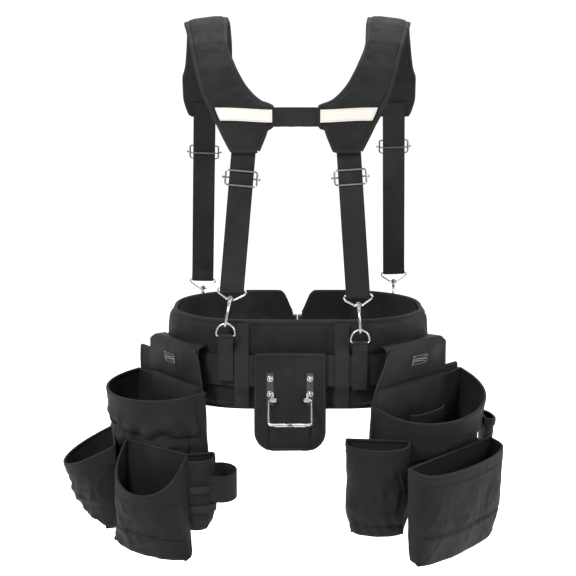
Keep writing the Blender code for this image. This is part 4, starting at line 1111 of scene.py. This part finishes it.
def make_rim_band(name, bag, deep, standing=0.0035, spread=(0.03, 0.69), rows=(0.014,), start=0.0):
    """A second layer of cloth round a bag's front, free along its lower edge."""
    low = bag.down(deep)

    def rise(u, v, p):
        return 0.0014 + standing * smooth_step(v, 0.35, 1.0) * (0.55 + 0.45 * waves(p, 0.045, bag.seed + 17))

    def edge(u, v):
        round_bag = spread[0] + (spread[1] - spread[0]) * u
        wander = 1 + 0.05 * waves(bag.bare(round_bag, np.full_like(u, low)), 0.06, bag.seed + 23)
        return bag(round_bag, bag.down(start) + (low * wander - bag.down(start)) * v)

    f = raised(edge, rise)
    body = bag.pouch.body
    cloth(f"{body}_{name}", f, 80, 16, canvas, body, 0.0016)
    for metres in rows:
        v = (metres - start) / (deep - start)
        stitch(f, [(0.02, v), (0.98, v)], body, rise=0.0003, steps=160)
    stitch(f, [(0.02, 0.95), (0.98, 0.95)], body, rise=0.0003, steps=160)


def make_tunnel(pouch, half, near_top, near_low, bottom, ear, label_at):
    """The tunnel round the belt, and the back panel that hangs from it."""
    body = pouch.body
    radius, spread = 0.14055, math.radians(27)
    top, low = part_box(f"{body}_back_panel")[1].z, -0.050

    def tunnel(u, v):
        across = 2 * u - 1
        turn = 2 * np.pi * v
        c, s = np.cos(turn), np.sin(turn)
        share = 0.5 + 0.5 * np.sign(c) * np.abs(c) ** 0.30
        up = np.sign(s) * np.abs(s) ** 0.36
        back_u, back_w = radius * np.sin(across * spread), radius * np.cos(across * spread) - 0.1521
        place = np.stack([back_u + (across * half - back_u) * share, back_w - back_w * share], -1)
        z = (top + low) / 2 + up * (top - low) / 2
        crown = (1 - across ** 6) * (1 - np.abs(up) ** 5)
        folds = waves(np.stack([across, z * 12, z * 0], -1), 0.8, 71)
        bulge = share * (0.0030 * crown + 0.0012 * crown * folds)
        sag = -0.003 * smooth_step(np.abs(across), 0.6, 1.0) * (up > 0)
        return pouch.point(place[..., 0], place[..., 1] + bulge, z + sag * share)

    made = cloth(f"{body}_tunnel", tunnel_flip(tunnel), 56, 84, smooth_canvas, body, 0.0020, side=1)
    tidy_ends(made)
    near, far = (-1, 1) if pouch.side > 0 else (1, -1)
    reach = half + 0.036

    def panel(u, v):
        edge = near * (near_top + (near_low - near_top) * v)
        other = np.full_like(v, far * reach)
        start, stop = (edge, other) if near < 0 else (other, edge)
        a = start + (stop - start) * u
        up = smooth_step(a * far, half - 0.006, half + 0.006)
        z_top = -0.046 + (ear + 0.046) * up
        z = z_top + (bottom - z_top) * v
        place = np.stack([a, z, z * 0], -1)
        return pouch.point(a, 0.0006 + 0.0010 * waves(place, 0.06, 73), z)

    sheet = cloth(f"{body}_panel", panel, 60, 44, canvas, body, 0.0024)
    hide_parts(f"{body}_back_panel")
    edge_tape(f"{body}_panel_binding", panel, [(0, 0.0), (0, 1), (1, 1), (1, 0.0)], body, binding, 0.0070,
              0.0044, 300, inward=0.0012)
    ear_edge = [(0.0, 0.004), (0.16, 0.004)] if far < 0 else [(1.0, 0.004), (0.84, 0.004)]
    edge_tape(f"{body}_ear_binding", panel, ear_edge, body, binding, 0.0070, 0.0044, 40, inward=0.0012)

    def flap(u, v):
        z = top + 0.002 - (top + 0.122) * v - 0.012 * (2 * u - 1) ** 6 * (1 - v) ** 3
        reach_near = eased(np.clip(v, 0, 1), (0.0, 0.12, 0.48, 1.0),
                           (half, half + 0.006, near_top, near_low - 0.006))
        start, stop = (-reach_near, half) if near < 0 else (-half, reach_near)
        a = start + (stop - start) * u
        across = 2 * u - 1
        place = np.stack([a, z, a * 0], -1)
        puff = (1 - across ** 6) * smooth_step(v, 0.0, 0.12)
        seam = np.exp(-((z + 0.030) / 0.0026) ** 2)
        belly = np.sin(np.pi * np.clip((v - 0.42) / 0.58, 0, 1)) ** 0.8
        w = 0.0034 + puff * (0.0026 + 0.0080 * belly + 0.0016 * waves(place, 0.045, 77) - 0.0030 * seam)
        return pouch.point(a, w, z)

    cloth(f"{body}_flap", flap, 56, 56, smooth_canvas, body, 0.0018)
    flap_edge = [(0.0 if near < 0 else 1.0, v) for v in np.linspace(0.02, 1, 20)]
    edge_tape(f"{body}_flap_binding", flap, flap_edge, body, smooth_canvas, 0.0055, 0.0040, 60, inward=0.0009)
    for v in (0.385, 0.440):
        stitch(flap, [(0.02, v), (0.98, v)], body, rise=0.0003, steps=120)
    for u in (0.045, 0.955):
        stitch(flap, [(u, 0.05), (u, 0.38)], body, rise=0.0003, steps=60)
    make_label(flap, body, label_at)


def tunnel_flip(f):
    return lambda u, v: f(u, 0.25 - v)


def tidy_ends(made):
    """The tunnel is one closed tube: merges the seam where its cloth meets itself."""
    work = bmesh.new()
    work.from_mesh(made.data)
    bmesh.ops.remove_doubles(work, verts=work.verts, dist=0.00002)
    work.to_mesh(made.data)
    work.free()


def make_label(flap, body, at):
    """A small plain woven label with two rows of chevron stitch, sewn on the flap round (u, v)."""
    patch = raised(part_of(flap, (at[0] - 0.115, at[0] + 0.115), (at[1] - 0.055, at[1] + 0.055)), 0.0008)
    cloth(f"{body}_label", patch, 12, 6, binding, body, 0.0008)
    zigzag = [(0.08 + 0.84 * k / 14, 0.36 if k % 2 else 0.64) for k in range(15)]
    for shift in (-0.10, 0.10):
        stitch(patch, [(u, v + shift) for u, v in zigzag], body, look=label_thread, rise=0.0002, steps=200)
    border = [(0.04, 0.10), (0.96, 0.10), (0.96, 0.90), (0.04, 0.90), (0.04, 0.10)]
    stitch(patch, border, body, look=label_thread, rise=0.0002, steps=100)


def make_left_pouch():
    pouch = Pouch(-1, 56)
    make_tunnel(pouch, 0.074, 0.092, 0.108, -0.225, 0.004, (0.47, 0.20))
    main = Bag(pouch, (-0.009, 0.0012, 0),
               [(0.095, 0.050, -0.235, -0.230), (0.107, 0.080, -0.190, -0.190),
                (0.110, 0.090, -0.110, -0.110), (0.109, 0.100, -0.038, -0.052)],
               0.80, 101, grooves=((0.27, 0.0), (0.40, 0.0)))
    make_bag("main_pocket", main, 0, 44, 96)
    make_rim_band("main_band", main, 0.050, 0.0085)
    make_rim_band("main_lower_band", main, 0.076, 0.0090, (0.10, 0.66), (), 0.046)
    nail = Bag(pouch, (-0.0600, 0.0790, -27),
               [(0.050, 0.034, -0.272, -0.264), (0.062, 0.066, -0.220, -0.222),
                (0.068, 0.084, -0.130, -0.172)],
               0.62, 131, 0.0030, 0.10)
    make_bag("nail_bag", nail, 0.015, double=False)
    centre = Bag(pouch, (0.0660, 0.0705, 28, -0.10),
                 [(0.066, 0.046, -0.278, -0.284), (0.062, 0.062, -0.225, -0.230),
                  (0.057, 0.067, -0.122, -0.184)],
                 0.62, 161, 0.0020, -0.02, ((0.58, 0.10),))
    make_bag("centre_bag", centre, 0.020)
    side = Bag(pouch, (0.1060, 0.0220, 72),
               [(0.022, 0.012, -0.250, -0.250), (0.028, 0.021, -0.215, -0.215),
                (0.028, 0.022, -0.132, -0.140)],
               0.60, 191, 0.0014, 0.34)
    make_bag("side_pocket", side, 0.010, 30, 48)
    for number, v in enumerate((0.32, 0.58)):
        loop = raised(front_of(side, (v, v + 0.10), (0.02, 0.70)), 0.0022)
        cloth(f"left_pouch_side_webbing_{number}", loop, 30, 6, webbing, "left_pouch", 0.0016)

    def tool_loop(u, v):
        turn = -2 * np.pi * u
        out = np.cos(turn)
        z = -0.158 - 0.006 * out - 0.043 * v
        return pouch.point(0.1220 + 0.018 * out, -0.012 + 0.026 * np.sin(turn), z)

    made = cloth("left_pouch_tool_loop_canvas", tool_loop, 40, 10, canvas, "left_pouch", 0.0022, closed=True,
                 side=-1)
    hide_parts("left_pouch_tool_loop")
    for v in (0.10, 0.90):
        stitch(tool_loop, [(0, v), (1, v)], "left_pouch", rise=0.0003, steps=60, side=-1)


def make_right_pouch():
    pouch = Pouch(1, 49)
    make_tunnel(pouch, 0.078, 0.112, 0.126, -0.225, -0.022, (0.53, 0.20))
    main = Bag(pouch, (0.003, 0.0012, 0, 0.10),
               [(0.102, 0.050, -0.235, -0.230), (0.114, 0.080, -0.190, -0.190),
                (0.119, 0.088, -0.115, -0.115), (0.119, 0.100, -0.044, -0.078)],
               0.80, 201, grooves=((0.31, 0.0), (0.43, 0.0)))
    make_bag("main_pocket", main, 0, 44, 96)
    make_rim_band("main_band", main, 0.047, 0.0085, rows=(0.015,))
    make_rim_band("main_lower_band", main, 0.068, 0.0090, (0.06, 0.50), (), 0.044)
    inner = Bag(pouch, (0.0120, 0.0042, 0), [(0.046, 0.014, -0.170, -0.170), (0.048, 0.018, -0.080, -0.086)],
                0.40, 231, 0.0008)
    make_bag("inner_pocket", inner, 0.012, 24, 60, double=False)
    narrow = Bag(pouch, (-0.1250, 0.0205, -56),
                 [(0.044, 0.028, -0.243, -0.249), (0.050, 0.038, -0.205, -0.210),
                  (0.050, 0.038, -0.104, -0.112)],
                 0.50, 261, 0.0026, 0.10, ((0.80, 0.06),))
    make_bag("narrow_pocket", narrow, 0.012, double=False)
    wide = Bag(pouch, (-0.0330, 0.0925, 3),
               [(0.112, 0.030, -0.276, -0.284), (0.118, 0.042, -0.225, -0.230),
                (0.119, 0.048, -0.130, -0.143)],
               0.45, 291, 0.0013, 0.02, ((0.62, -0.02),))
    make_bag("wide_bag", wide, 0.020, 44, 110)
    loop = Bag(pouch, (0.1060, 0.0570, 44), [(0.030, 0.014, -0.160, -0.160), (0.032, 0.022, -0.100, -0.105)],
               0.60, 321, 0.0008)
    make_bag("side_loop", loop, 0.008, 24, 48, double=False)


# ---------------------------------------------------------------- hardware
def make_hardware():
    for end in ("back_left", "back_right", "front_left", "front_right"):
        for node in (f"d_ring_{end}", f"hook_{end}", f"hook_gate_{end}"):
            polished(node, steel)
        finish_node(f"hook_bail_{end}", steel)
        finish_node(f"adjuster_{end}", dull_steel)
    for node in ("buckle_plug", "buckle_socket"):
        finish_node(node, acetal)


# ---------------------------------------------------------------- camera, floor and lights
def make_studio():
    target = Vector((-0.0167, 0.127, 0.101))
    lift = math.radians(9.5)
    camera = bpy.data.objects.new("camera", bpy.data.cameras.new("camera"))
    camera.data.lens = 94.9
    camera.data.sensor_width = 36
    camera.location = target + 2.54 * Vector((0, -math.cos(lift), math.sin(lift)))
    camera.rotation_euler = (math.radians(90) - lift, 0, 0)
    bpy.context.scene.collection.objects.link(camera)
    bpy.context.scene.camera = camera

    work = bmesh.new()
    bmesh.ops.create_grid(work, x_segments=4, y_segments=4, size=40)
    bmesh.ops.translate(work, verts=work.verts, vec=(0, 0, cad_low.z - 0.30))
    mesh = bpy.data.meshes.new("floor")
    work.to_mesh(mesh)
    work.free()
    n = Nodes("floor_paint")
    spot = n.add("ShaderNodeTexCoord").outputs["Object"]
    n.put(n.shader.inputs["Base Color"], n.mix(n.noise(spot, 0.8), (0.97, 0.97, 0.97), (0.985, 0.985, 0.985)))
    n.put(n.shader.inputs["Roughness"], 0.9)
    mesh.materials.append(n.material)
    floor = bpy.data.objects.new("floor", mesh)
    bpy.context.scene.collection.objects.link(floor)

    world = bpy.data.worlds.new("studio")
    world.use_nodes = True
    world.node_tree.nodes["Background"].inputs[0].default_value = (1.0, 1.0, 1.0, 1.0)
    world.node_tree.nodes["Background"].inputs[1].default_value = 1.06
    bpy.context.scene.world = world
    bpy.context.scene.view_settings.view_transform = "Standard"
    lights = (("key", (-1.2, -1.7, 1.9), 0.7, 135), ("fill", (1.9, -1.3, 0.9), 1.0, 42),
              ("top", (0.2, 0.5, 2.2), 1.2, 80))
    for name, place, size, power in lights:
        light = bpy.data.objects.new(name, bpy.data.lights.new(name, "AREA"))
        light.data.size = size
        light.data.energy = power
        light.location = place
        light.rotation_euler = (target - Vector(place)).to_track_quat("-Z", "Y").to_euler()
        bpy.context.scene.collection.objects.link(light)


# ---------------------------------------------------------------- everything
make_studio()
make_belt()
make_waist_webbing()
make_belt_loops()
for place_number, (strap_name, fold) in enumerate((("back_left", 0.120), ("back_right", 0.110),
                                                   ("front_left", 0.150), ("front_right", 0.160))):
    strap_end = StrapEnd(strap_name, fold)
    make_strap(strap_end, place_number)
    make_ring_tab(strap_end)
make_hammer_holder()
make_yoke()
make_left_pouch()
make_right_pouch()
make_hardware()
for (thread_body, thread_look), sewing in Thread.made.items():
    sewing.build(f"stitches_{thread_body}_{thread_look}")
